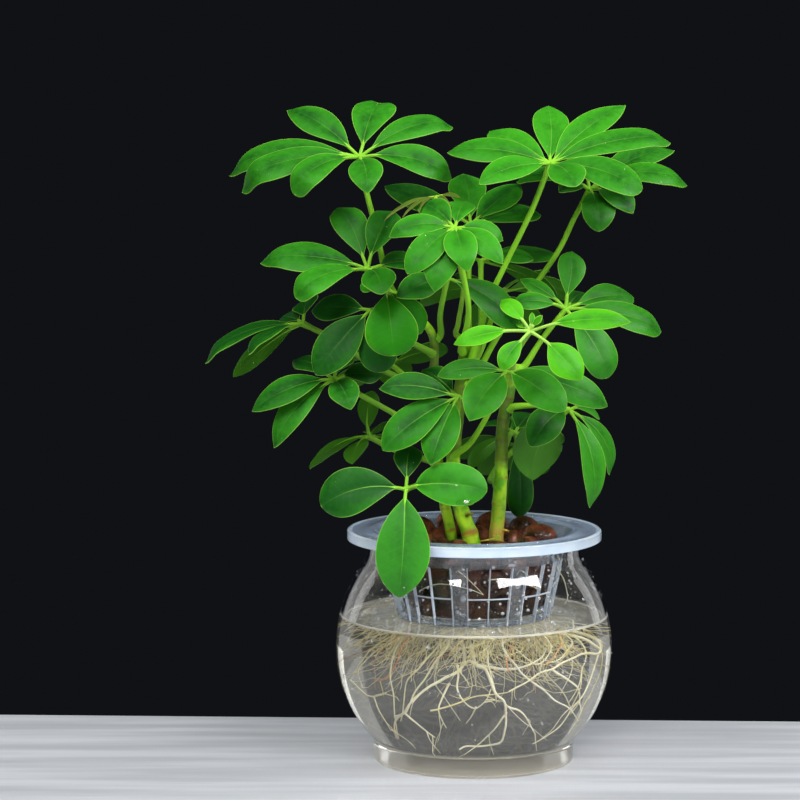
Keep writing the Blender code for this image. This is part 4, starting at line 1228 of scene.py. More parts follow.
@dataclass(frozen=True)
class BowlForm:
    """The bowl's shape: two half ellipses that meet at the belly, and a straight neck."""

    belly_radius: float = 69.0
    belly_height: float = 56.0
    lower_half: float = 65.7
    upper_half: float = 71.9
    neck_radius: float = 52.7
    neck_top: float = 114.2
    floor_height: float = 9.6
    glass: float = 2.2
    softness: float = 1.6

    def radius(self, height: float, inset: float = 0.0) -> float:
        """The bowl's radius at a height: the belly, and above it the neck, softly joined.

        Args:
            height: the height.
            inset: how far in from the outer surface.

        Returns:
            The radius.
        """
        half = self.upper_half if height > self.belly_height else self.lower_half
        share = min(1.0, abs(height - self.belly_height) / (half - inset))
        belly = (self.belly_radius - inset) * math.sqrt(1.0 - share * share)
        if height < self.belly_height:
            return belly
        neck = self.neck_radius - inset
        return (belly + neck + math.sqrt((belly - neck) ** 2 + self.softness ** 2)) / 2


@dataclass
class GlassBowl:
    """The round glass bowl with its thick foot and rounded rim."""

    form: BowlForm
    steps: int = 160
    rows: int = 56
    foot_radius: float = 50.0
    foot_height: float = 9.0
    kick: float = 1.0

    def inner(self, inset: float, top: float) -> list:
        """The inner wall's section from the middle of the floor up to a height.

        Args:
            inset: how far it lies in from the outer surface.
            top: the height where it ends.

        Returns:
            Pairs of radius and height.
        """
        low = self.form.floor_height - (self.form.glass - inset)
        corner = self.form.radius(low + 1.6, inset)
        section = [(0.0, low), (corner * 0.5, low), (corner - 4.0, low), (corner - 1.8, low + 0.25),
                   (corner - 0.6, low + 0.8)]
        for row in range(self.rows + 1):
            height = low + 1.6 + (top - low - 1.6) * row / self.rows
            section.append((self.form.radius(height, inset), height))
        return section

    def outer(self) -> list:
        """The outer surface's section, from the rounded rim down to the middle of the underside.

        Returns:
            Pairs of radius and height.
        """
        half = self.form.glass / 2
        middle, top = self.form.neck_radius - half, self.form.neck_top
        section = []
        for step in range(1, 8):
            angle = math.pi * step / 8
            section.append((middle - half * math.cos(angle), top - half + half * math.sin(angle)))
        low = self.foot_height + 2.0
        for row in range(self.rows + 1):
            height = top - half - (top - half - low) * row / self.rows
            section.append((self.form.radius(height), height))
        foot = self.foot_radius
        return section + [(foot + 0.2, self.foot_height + 0.6), (foot, self.foot_height - 1), (foot, 1.6),
                          (foot - 0.4, 0.6), (foot - 1.4, 0.0), (foot - 4.0, 0.0), (foot - 7.0, self.kick),
                          (0.0, self.kick)]

    def build(self, finish: Material, ground: Material) -> Object:
        """Makes the bowl and dresses it.

        Args:
            finish: the glass.
            ground: the finish of its underside.

        Returns:
            The bowl.
        """
        draft = Draft()
        rim = self.form.neck_top - self.form.glass / 2
        draft.turn(self.inner(self.form.glass, rim) + self.outer(), self.steps)
        underside = (ground, lambda middle: middle.z < (self.kick + 0.1) * MM)
        return fresh_object("bowl_glass", dress(draft.mesh("bowl_glass"), finish, underside))


@dataclass
class WaterBody:
    """The water, which wets the glass and climbs it a little, with small bubbles in it."""

    form: BowlForm
    level: float = 72.8
    climb: float = 0.9
    climb_width: float = 3.5
    overlap: float = 0.15
    steps: int = 160
    bubbles: int = 150
    seed: int = 8

    def section(self, bowl: GlassBowl) -> list:
        """The water's section, from the middle of its surface out and down to the floor.

        Args:
            bowl: the bowl it fills.

        Returns:
            Pairs of radius and height.
        """
        inset = self.form.glass - self.overlap
        edge = self.form.radius(self.level + self.climb, inset)
        surface = [(0.0, self.level), (edge * 0.5, self.level), (edge - 8.0, self.level)]
        for step in range(1, 9):
            rise = self.climb * (step / 8) ** 2.5
            surface.append((edge - self.climb_width * (1.0 - step / 8), self.level + rise))
        return surface + bowl.inner(inset, self.level + self.climb)[::-1][1:]

    def bubble(self, centre: Vector, radius: float) -> list:
        """The rings of a small round bubble, from its top down.

        Args:
            centre: its middle.
            radius: its radius.

        Returns:
            Rings of points.
        """
        rings = []
        for row in range(5):
            tilt = math.pi * (row + 0.02) / 4.04
            flat, rise = math.sin(tilt), math.cos(tilt)
            turns = [math.tau * step / 8 for step in range(8)]
            rings.append([centre + Vector((flat * math.cos(turn), flat * math.sin(turn), rise)) * radius
                          for turn in turns])
        return rings

    def build(self, bowl: GlassBowl, finish: Material, surface: Material, pale: Material) -> Object:
        """Makes the water with its pale rim and its bubbles, whose faces point into them, and dresses it.

        Args:
            bowl: the bowl it fills.
            finish: the finish of its sides.
            surface: the finish of its level surface.
            pale: the finish of the rim and the bubbles.

        Returns:
            The water.
        """
        body, foam = Draft(), Draft()
        body.turn(self.section(bowl), self.steps)
        level = (surface, lambda middle: middle.z > (self.level - 0.1) * MM)
        rim = (pale, lambda middle: middle.z > (self.level + self.climb * 0.3) * MM)
        shell = dress(body.mesh("water_body"), finish, level, rim)
        draw = random.Random(self.seed)
        for _ in range(self.bubbles):
            height = draw.uniform(self.form.floor_height + 1.5, self.level - 3.0)
            out = self.form.radius(height, self.form.glass) - draw.choice((0.9, 0.9, 4.0, 12.0))
            place = bearing_of(draw.uniform(0, 360)) * out + Vector((0, 0, height))
            foam.tube(self.bubble(place, 0.22 + 0.35 * draw.random() ** 3))
        hollow = foam.mesh("bubbles")
        hollow.flip_normals()
        return joined("water_body", [shell, dress(hollow, pale)])


@dataclass
class NetBasket:
    """The frosted basket: flange with a turned-down lip, funnel, ribbed open wall and barred floor."""

    form: BowlForm
    floor: float = 75.0
    underside: float = 73.2
    floor_radius: float = 37.3
    shoulder: float = 108.0
    shoulder_radius: float = 44.2
    window_top: float = 102.6
    mouth_radius: float = 51.0
    top: float = 116.4
    wall: float = 1.6
    flange_radius: float = 63.4
    lip: float = 111.4
    panels: int = 9
    first_panel: float = -101.0
    strip: float = 5.4
    window: float = 13.8
    bar: float = 87.0
    slots: tuple = (-30.0, -18.0, -6.0, 6.0, 18.0, 30.0)
    slot_bar: float = 2.8
    rim: float = 3.0
    rib: float = 0.3

    def inner_radius(self, height: float) -> float:
        """The wall's inner radius at a height."""
        share = (height - self.floor) / (self.shoulder - self.floor)
        return self.floor_radius + (self.shoulder_radius - self.floor_radius) * share

    def collar(self) -> Draft:
        """The flange and funnel, down to the windows' top, turned about the axis.

        Returns:
            Their closed shell.
        """
        mouth, flange, neck = self.mouth_radius, self.flange_radius, self.shoulder_radius
        top, lip, shoulder, ledge = self.top, self.lip, self.shoulder, self.form.neck_top + 0.3
        inside, inner = flange - self.wall, self.inner_radius(self.window_top)
        profile = [(inner, self.window_top), (neck, shoulder - 0.6), (neck + 0.4, shoulder + 0.3),
                   (mouth - 1.6, top - 1.3), (mouth - 0.9, top - 0.35), (mouth, top - 0.05),
                   (mouth + 1.0, top), (mouth + 1.8, top - 0.35), (flange - 2.6, top - 0.4),
                   (flange - 1.7, top), (flange - 0.7, top - 0.1), (flange - 0.1, top - 0.6),
                   (flange, top - 1.2), (flange, lip + 0.3), (flange - 0.3, lip), (inside + 0.2, lip),
                   (inside, lip + 0.3), (inside - 0.2, ledge - 0.3), (inside - 0.6, ledge),
                   (self.form.neck_radius - self.form.glass - 0.6, ledge),
                   (neck + self.wall + 0.2, shoulder - 0.3), (neck + self.wall, shoulder - 1.2),
                   (inner + self.wall, self.window_top)]
        draft = Draft()
        draft.turn(profile + profile[:1], 180)
        return draft

    def is_flange(self, middle: Vector) -> bool:
        """Whether a face with this middle belongs to the flange's hazy top or the funnel."""
        return middle.z > (self.shoulder + 1.0) * MM

    def is_lip(self, middle: Vector) -> bool:
        """Whether a face with this middle belongs to the turned-down lip."""
        return math.hypot(middle.x, middle.y) > (self.flange_radius - 2.7) * MM

    def plates(self, name: str, bounds: list) -> Mesh:
        """Some curved plates of the wall.

        Args:
            name: the mesh's name.
            bounds: for each plate its first and last bearing in degrees, its lower and upper edge, and how
                far its back and its face stand out from the wall's inner surface.

        Returns:
            The mesh.
        """
        draft = Draft()
        for first, last, low, high, back, proud in bounds:
            steps = max(2, round((last - first) / 1.5) + 1)
            edge = min(0.25, (proud - back) / 3)
            section = ((low, back), (low, proud - edge), (low + edge, proud), (high - edge, proud),
                       (high, proud - edge), (high, back))
            rings = []
            for step in range(steps):
                level = bearing_of(first + (last - first) * step / (steps - 1))
                rings.append([level * (self.inner_radius(height) + lift) + Vector((0, 0, height))
                              for height, lift in section])
            draft.tube(rings)
        return draft.mesh(name, smooth=False)

    def floor_bars(self) -> Draft:
        """The floor: a ring at its edge and straight bars across it.

        Returns:
            Their closed shells.
        """
        draft = Draft()
        outer, inner = self.floor_radius + 0.6, self.floor_radius - self.rim
        top, low, half = self.floor, self.underside, self.slot_bar / 2
        section = [(inner, top - 0.3), (inner + 0.3, top), (outer, top), (outer, low), (inner + 0.3, low),
                   (inner, low + 0.3)]
        draft.turn(section + section[:1], 120)
        for across in self.slots:
            reach = math.sqrt(max(0.0, (inner + 1.0) ** 2 - across ** 2))
            left, right = across - half, across + half
            ring = [(left, low), (right, low), (right, top - 0.3), (right - 0.3, top), (left + 0.3, top),
                    (left, top - 0.3)]
            draft.tube([[(x, y, z) for x, z in ring] for y in (-reach, 0.0, reach)])
        return draft

    def build(self, rings: RingRule, clear: Material, flange: Material, lip: Material,
              frost: Material) -> Object:
        """Makes the basket; its wall is one panel, with its ribs, set nine times in a ring.

        Args:
            rings: the rule that sets copies in a ring.
            clear: the finish of the wall.
            flange: the finish of the flange's top.
            lip: the finish of the turned-down lip.
            frost: the finish of the ribs.

        Returns:
            The basket.
        """
        parts = [dress(self.collar().mesh("collar"), clear, (flange, self.is_flange), (lip, self.is_lip)),
                 dress(self.floor_bars().mesh("floor_bars", smooth=False), clear)]
        low, high = self.underside, self.window_top + 0.4
        near, far = self.strip, 360.0 / self.panels - self.strip
        panel = [(-near, near, low, high, 0.3, 1.1), (near, far, low, self.floor + 2.2, 0.0, 1.5)]
        ribs = [(place - self.rib, place + self.rib, low, high, -0.1, 1.7)
                for place in (-near, near, near + self.window + 0.7)]
        ribs.append((near, far, self.bar - 0.3, self.bar + 0.3, 0.1, 1.5))
        for name, bounds, finish in (("basket_panel", panel, clear), ("basket_ribs", ribs, frost)):
            parts.append(rings.apply(name, self.plates(name, bounds), Count=self.panels, Material=finish,
                                     Turn=math.radians(self.first_panel)))
        basket = joined("net_basket", parts)
        basket.data.shade_smooth()
        basket.data.set_sharp_from_angle(angle=math.radians(35))
        return basket


@dataclass
class PebbleHeap:
    """The heap of wet clay pebbles: rows behind the basket's wall, rings on top and a hidden core."""

    basket: NetBasket
    seed: int = 11
    side_rows: tuple = ((82.6, 6.9, 11), (95.0, 7.0, 12))
    top_rings: tuple = ((109.5, 32.5, 9.4, 10), (105.0, 19.0, 8.8, 6))
    slope: float = 3.0
    core_top: float = 105.0
    core_inset: float = 6.0

    def stone(self, ring: float, bearing: float, height: float, radius: float, draw: random.Random) -> tuple:
        """One stone.

        Args:
            ring: how far it lies from the axis.
            bearing: its bearing in radians.
            height: its height.
            radius: its rough radius.
            draw: the heap's random numbers.

        Returns:
            Its place in metres, its three half sizes and its turn.
        """
        centre = Vector((ring * math.cos(bearing), ring * math.sin(bearing), height))
        squeeze = [radius * draw.uniform(*span) for span in ((0.9, 1.02), (0.9, 1.02), (0.82, 0.95))]
        turn = Euler([draw.uniform(-0.5, 0.5), draw.uniform(-0.5, 0.5), draw.uniform(0, math.tau)])
        return centre * MM, squeeze, turn

    def stones(self) -> list:
        """Every stone that shows, placed by the same rule as the solid heap.

        Returns:
            What `stone` gives for each.
        """
        draw = random.Random(self.seed)
        made = []
        for row, (height, radius, count) in enumerate(self.side_rows):
            ring = self.basket.inner_radius(height - radius / 3) - radius - 0.5
            for index in range(count):
                bearing = math.tau * (index + 0.5 * row + draw.uniform(-0.06, 0.06)) / count
                made.append(self.stone(ring, bearing, height + draw.uniform(0, 0.8), radius, draw))
        for row, (height, ring, radius, count) in enumerate(self.top_rings):
            for index in range(count):
                bearing = math.tau * (index + 0.35 * row + draw.uniform(-0.08, 0.08)) / count
                size = radius + draw.uniform(-0.8, 0.3)
                rise = self.slope * math.sin(bearing) + draw.uniform(-1.0, 1.4)
                made.append(self.stone(ring, bearing, height + rise, size, draw))
        return made

    def core(self) -> Draft:
        """The rough dark middle of the heap.

        Returns:
            Its closed shell.
        """
        low = self.basket.floor + 0.4
        rows = ((100.0, self.core_top), (90.0, 90.0), (low, low))
        profile = [(self.basket.inner_radius(level) - self.core_inset, height) for level, height in rows]
        draft = Draft()
        draft.turn([(0.0, self.core_top), *profile, (0.0, low)], 48)
        return draft

    def build(self, stones: StoneRule, finish: Material) -> Object:
        """Makes the heap out of lumpy stones and its core."""
        pile = stones.lay("stones", self.stones(), finish, Lumps=2.6 * MM, Scale=95.0)
        return joined("pebble_heap", [pile, dress(self.core().mesh("core"), finish)])


@dataclass
class Trunk:
    """A green trunk, swollen at its nodes, with an oblique tan scar where each old leaf was."""

    stem: Stem
    foot: float = 94.0
    straight: float = 9.0
    row_height: float = 0.7
    sides: int = 28
    spacing: float = 12.5
    swell: float = 0.07

    def dull(self, height: float) -> float:
        """How much painted shade the bark gets at a height, where the foliage would shade it."""
        low, high = self.stem.shaded
        return eased(low - 6.0, low + 4.0, height) * (1.0 - eased(high - 8.0, high + 6.0, height))

    def radius(self, share: float) -> float:
        """The trunk's plain radius at a share of its length."""
        return self.stem.foot_radius + (self.stem.tip_radius - self.stem.foot_radius) * share

    def line(self) -> list:
        """The centre line, from the hidden foot to the tip.

        Returns:
            Thirteen points along it.
        """
        start = Vector((*self.stem.foot, self.foot))
        first = [start, start + Vector((0, 0, self.straight))]
        return spline_through(first + [seen(*place) for place in self.stem.climbs], 13)

    def at(self, height: float) -> tuple:
        """The trunk at a height.

        Args:
            height: the height.

        Returns:
            Its centre, direction and radius there.
        """
        line = self.line()
        rises = [place for place in zip(line, line[1:]) if place[1].z >= height]
        a, b = rises[0] if rises else (line[-2], line[-1])
        share = min(1.0, max(0.0, (height - a.z) / max(0.01, b.z - a.z)))
        radius = self.radius((line.index(a) + share) / (len(line) - 1))
        return a.lerp(b, share), (b - a).normalized(), radius

    def spurs(self, rods: RodRule, finish: Material) -> list:
        """The short growths on the trunk.

        Args:
            rods: the rule that grows rods.
            finish: the bark.

        Returns:
            Their meshes, one or none.
        """
        strands = []
        for places, (first, last), _ in self.stem.spurs:
            line = spline_through([seen(*place) for place in places], 9)
            strands.append((line, [first + (last - first) * step / 8 for step in range(9)]))
        if not strands:
            return []
        tans = [tan for _, _, tan in self.stem.spurs]
        plain = [0.0] * len(tans)
        return [rods.grow("spurs", strands, finish, 8, scar=tans, age=[1.0] * len(tans), dull=plain)]

    def nodes(self, length: float) -> list:
        """The trunk's nodes.

        Args:
            length: the trunk's length.

        Returns:
            For each how far up it is, the way its scar faces and how strongly it is marked.
        """
        draw = random.Random(self.stem.name)
        nodes = []
        place = draw.uniform(4.0, 9.0)
        while place < length:
            nodes.append((place, draw.uniform(0, math.tau), draw.uniform(0.5, 1.0)))
            place += self.spacing * draw.uniform(0.75, 1.2) * (1.0 - 0.25 * place / length)
        return nodes + [(place, -math.pi / 2, 1.3) for place in self.stem.marked]

    def marks_at(self, travelled: float, angle: float, nodes: list) -> tuple:
        """How a spot of the bark is marked.

        Args:
            travelled: how far up the trunk it is.
            angle: the way it faces.
            nodes: the trunk's nodes.

        Returns:
            How far it is swollen, and how much of it is scar.
        """
        swollen, scar = 0.0, 0.0
        for node, facing, strength in nodes:
            towards = (1.0 + math.cos(angle - facing)) / 2
            gap = travelled - node - 1.2 * towards
            swollen += hump(gap, 1.6) * (0.5 + 0.8 * towards)
            thin = 0.24 + 0.75 * towards ** 3 * strength
            scar = max(scar, hump(gap, thin) * (0.35 + 0.65 * towards) * strength)
        return swollen, min(1.0, scar)

    def build(self, rods: RodRule, finish: Material) -> Object:
        """Makes the trunk with its scars and spurs and dresses it.

        Args:
            rods: the rule that grows rods.
            finish: the bark.

        Returns:
            The trunk.
        """
        rough = self.line()
        length = sum((b - a).length for a, b in zip(rough, rough[1:]))
        rows = max(20, round(length / self.row_height))
        line = spline_through(rough, rows, 20)
        nodes = self.nodes(length)
        rings, scars, ages, painted_shades = [], [], [], []
        side = Vector((1.0, 0.0, 0.0))
        for row, centre in enumerate(line):
            ahead = (line[min(row + 1, rows - 1)] - line[max(row - 1, 0)]).normalized()
            side = (side - ahead * side.dot(ahead)).normalized()
            front = ahead.cross(side)
            share = row / (rows - 1)
            closing = math.sqrt(max(0.0, 1.0 - max(0.0, share - 0.985) ** 2 / 0.015 ** 2))
            ring = []
            for step in range(self.sides):
                angle = math.tau * step / self.sides
                swollen, scar = self.marks_at(length * row / (rows - 1), angle, nodes)
                spread = self.radius(share) * (0.97 + self.swell * swollen) * max(0.05, closing)
                ring.append(centre + (side * math.cos(angle) + front * math.sin(angle)) * spread)
                scars.append(scar)
            rings.append(ring)
            ages += [self.stem.brown * (1.0 - eased(0.08, 0.42, share))] * self.sides
            # Painted shade on the stretch that the foliage hangs over
            painted_shades += [self.dull(centre.z)] * self.sides
        draft = Draft()
        draft.tube(rings, scar=scars, age=ages, dull=painted_shades)
        name = self.stem.name.replace("stem", "trunk")
        return joined(name, [dress(draft.mesh(name), finish)] + self.spurs(rods, finish))


@dataclass
class LeafWhorl:
    """A whorled leaf: a petiole with a swollen foot, and leaflets on short stalks round its end."""

    leaf: Leaf
    trunk: Trunk
    rows: int = 27
    columns: tuple = (-1.0, -0.96, -0.82, -0.6, -0.36, -0.14, 0.0, 0.14, 0.36, 0.6, 0.82, 0.96, 1.0)
    middle_thickness: float = 0.55
    rim_thickness: float = 0.3
    petiole_foot: float = 1.9
    petiole_tip: float = 1.45
    stalk_radius: float = 0.92
    stalk_light: float = 0.22
    notch: float = 0.1
    sides: int = 10

    def slim(self) -> float:
        """How thin the leaf's rods are beside a grown leaf's."""
        return {Skin.BRONZE: 0.7, Skin.YOUNG: 0.86, Skin.GREEN: 0.94}[self.leaf.look.skin]

    def axis(self) -> Vector:
        """The unit vector that the whorl faces along.

        Returns:
            The vector.
        """
        tilt, bearing = self.leaf.faces
        lean = math.radians(tilt)
        return bearing_of(bearing) * math.sin(lean) + Vector((0, 0, math.cos(lean)))

    def petiole(self) -> tuple:
        """The petiole, out of the trunk's side and round an elbow to the hub.

        Returns:
            Its points and radii.
        """
        _, height, bearing = self.leaf.grows
        centre, along, radius = self.trunk.at(height)
        level = bearing_of(bearing)
        out = (level - along * level.dot(along)).normalized()
        start, elbow = centre + out * (radius * 0.7), centre + out * (radius + 2.8) + along * 2.6
        route = [start, elbow] + [seen(*place) for place in self.leaf.bends] + [seen(*self.leaf.hub)]
        radii = []
        for index in range(40):
            share = index / 39
            base = self.petiole_foot + (self.petiole_tip - self.petiole_foot) * eased(0.0, 0.5, share)
            radii.append((base + 0.75 * hump(share, 0.05) + 0.5 * hump(share - 1.0, 0.035)) * self.slim())
        return spline_through(route, 40), radii

    def bud(self) -> tuple:
        """The closed bud that hangs at the hub of an opening shoot.

        Returns:
            Its points and radii.
        """
        right, up, away = self.leaf.hub
        top, low = seen(right + 0.2, up + 0.8, away - 2.0), seen(right + 0.8, up - 2.8, away - 5.0)
        return [top.lerp(low, step / 6) for step in range(7)], [0.5, 1.0, 1.35, 1.45, 1.25, 0.85, 0.3]

    def frame_of(self, chord: Vector, roll: float) -> tuple:
        """The two ways that a leaflet is turned.

        Args:
            chord: the line from the hub to its tip.
            roll: its turn about that line in degrees.

        Returns:
            The directions that its face and its bow point to.
        """
        axis = self.axis()
        face = (axis - chord * (axis.dot(chord) / chord.length_squared)).normalized()
        lift = axis + Vector((0.0, 0.0, 1.0))
        lift = (lift - chord * (lift.dot(chord) / chord.length_squared)).normalized()
        return Matrix.Rotation(math.radians(roll), 3, chord) @ face, lift

    def outline(self, shape: TipShape, s: float) -> float:
        """A leaflet's width.

        Args:
            shape: the leaflet's shape.
            s: a share of its blade's length.

        Returns:
            The width there as a share of its widest.
        """
        wedge, blunt = shape.value
        widest = wedge / (wedge + blunt)
        peak = widest ** wedge * (1.0 - widest) ** blunt
        return max(0.0, s) ** wedge * max(0.0, 1.0 - s) ** blunt / peak

    def leaflet(self, tip: tuple, shape: TipShape, tone: float, draft: Draft, draw: random.Random) -> tuple:
        """Adds one leaflet's blade to the draft.

        Args:
            tip: its tip from the hub as seen, its width and its turn.
            shape: its outline.
            tone: how bright it is.
            draft: what the blade is added to.
            draw: the whorl's random numbers.

        Returns:
            The points and radii of its stalk, which runs on under the blade as its midrib.
        """
        right, up, away = self.leaf.hub
        across, rise, back, width, *roll = tip
        hub, end = seen(right, up, away), seen(right + across, up + rise, away + back)
        chord = end - hub
        length = chord.length
        face, lift = self.frame_of(chord, sum(roll))
        behind = eased(0.0, 30.0, back)
        bend = hub + chord * 0.5 + lift * (self.leaf.arch * length * (1.0 - 0.45 * behind))
        stalk = min(0.32, self.leaf.look.stalk / length)
        notch = self.notch * length if shape is TipShape.NOTCHED else 0.0
        fold, droop = draw.uniform(0.24, 0.4), draw.uniform(0.08, 0.2)
        phase = draw.uniform(0.0, math.tau)
        sway = draw.uniform(-0.03, 0.03) * length
        curl = self.leaf.look.curl * draw.uniform(0.5, 1.4) * length * (1.0 - 0.85 * behind)
        tops, bottoms, places, ribs, edges, spine = [], [], [], [], [], []
        for row in range(self.rows):
            s = 1.0 - (1.0 - row / (self.rows - 1)) ** 1.5
            t = stalk + (1.0 - stalk) * s
            forward = (bend - hub).lerp(end - bend, t).normalized()
            side = forward.cross(face).normalized()
            normal = side.cross(forward).normalized()
            tipping = eased(0.72, 1.0, s)
            centre = quadratic(hub, bend, end, t)
            centre = centre - normal * (curl * tipping ** 2) + side * (sway * math.sin(math.pi * s))
            half = max(width * self.outline(shape, s) / 2, 0.55 * (1.0 - s) + 0.12)
            trough = fold * (1.0 - s) ** 0.9 + 0.04
            top, bottom = [], []
            for v in self.columns:
                bulge = (droop + 0.12 * s) * v * v
                wave = 0.045 * math.sin(7.0 * s + phase + (2.0 if v > 0 else 0.0)) * abs(v) ** 3
                height = half * (trough * abs(v) - bulge + wave)
                thick = self.rim_thickness + (self.middle_thickness - self.rim_thickness) * (1 - v * v)
                groove = 0.16 * hump(v * half, 0.5) * (1.0 - 0.6 * s)
                spot = centre + side * (v * half) + normal * height
                spot -= forward * (notch * tipping * hump(v * half, 0.18 * width))
                top.append(spot + normal * (thick / 2 - groove))
                bottom.append(spot - normal * (thick / 2))
                places.append((s, (v + 1.0) / 2))
                ribs.append(abs(v) * half)
                edges.append(min((1.0 - abs(v)) * half, (1.0 - s) * length * 0.8))
            tops.append(top)
            bottoms.append(bottom)
            spine.append((centre, normal, s))
        self.sew(draft, tops, bottoms, places=places, rib=ribs, edge=edges, tone=[tone] * len(places))
        return self.stalk_of(spine, [quadratic(hub, bend, end, stalk * step / 8) for step in range(8)])

    def sew(self, draft: Draft, tops: list, bottoms: list, **kept: list) -> None:
        """Adds a blade's upper and lower sheets and the rim that closes them.

        Args:
            draft: what they are added to.
            tops: rows of points of the upper sheet.
            bottoms: rows of points of the lower sheet.
            kept: the UV place and the named values of each point, the same on both sheets.
        """
        wide, deep = len(self.columns), len(tops)
        start, count = len(draft.points), wide * deep
        kept |= {"blade": [1.0] * count, "ribs": [self.leaf.look.ribs] * count}
        draft.grid(tops, top=[1.0] * count, **kept)
        draft.grid(bottoms, top=[0.0] * count, **kept)
        ring = list(range(wide)) + [row * wide + wide - 1 for row in range(1, deep)]
        ring += [(deep - 1) * wide + column for column in range(wide - 2, -1, -1)]
        ring += [row * wide for row in range(deep - 2, 0, -1)]
        for a, b in zip(ring, ring[1:] + ring[:1]):
            draft.faces.append((start + a, start + b, start + count + b, start + count + a))

    def stalk_of(self, spine: list, points: list) -> tuple:
        """A leaflet's stalk, with the midrib that it becomes under the blade.

        Args:
            spine: the blade's middle: each row's centre, upward direction and share of the blade.
            points: the bare stalk's points.

        Returns:
            Its points and radii.
        """
        radii = [(self.stalk_radius + 0.35 * hump(step, 1.6)) * self.slim() for step in range(len(points))]
        for centre, normal, s in spine[: self.rows * 3 // 4]:
            radius = self.stalk_radius * self.slim() * (1.0 - s) ** 1.8 * (1.0 - 0.35 * eased(0, 0.15, s))
            radii.append(max(radius, 0.12))
            points.append(centre - normal * (radii[-1] * eased(-0.02, 0.12, s) * 0.9))
        return points, radii

    def build(self, rods: RodRule, finish: Material) -> Object:
        """Makes the whorl: its blades by their own rows, its petiole and stalks by the rod rule.

        Args:
            rods: the rule that grows rods.
            finish: the leaf's finish.

        Returns:
            The whorl.
        """
        look = self.leaf.look
        draw = random.Random(self.leaf.name)
        draft = Draft()
        strands = [self.petiole()]
        for index, tip in enumerate(self.leaf.tips):
            tone = look.tone(index) + draw.uniform(-0.04, 0.04)
            strands.append(self.leaflet(tip, look.shape(index), tone, draft, draw))
        if look.skin is Skin.BRONZE:
            strands.append(self.bud())
        # Painted light on the petiole, as bright as its leaflets on average; the leaflets' stalks get
        # stalk_light
        tones = [look.tone(index) for index in range(len(self.leaf.tips))]
        lit = [sum(tones) / len(tones)] + [self.stalk_light] * (len(strands) - 1)
        stalks = rods.grow("stalks", strands, finish, self.sides, lit=lit)
        name = "whorl_" + self.leaf.name.removeprefix("leaf_")
        whorl = joined(name, [dress(draft.mesh("blades"), finish), stalks])
        whorl.data.shade_smooth()
        whorl.data.set_sharp_from_angle(angle=math.radians(62))
        return whorl


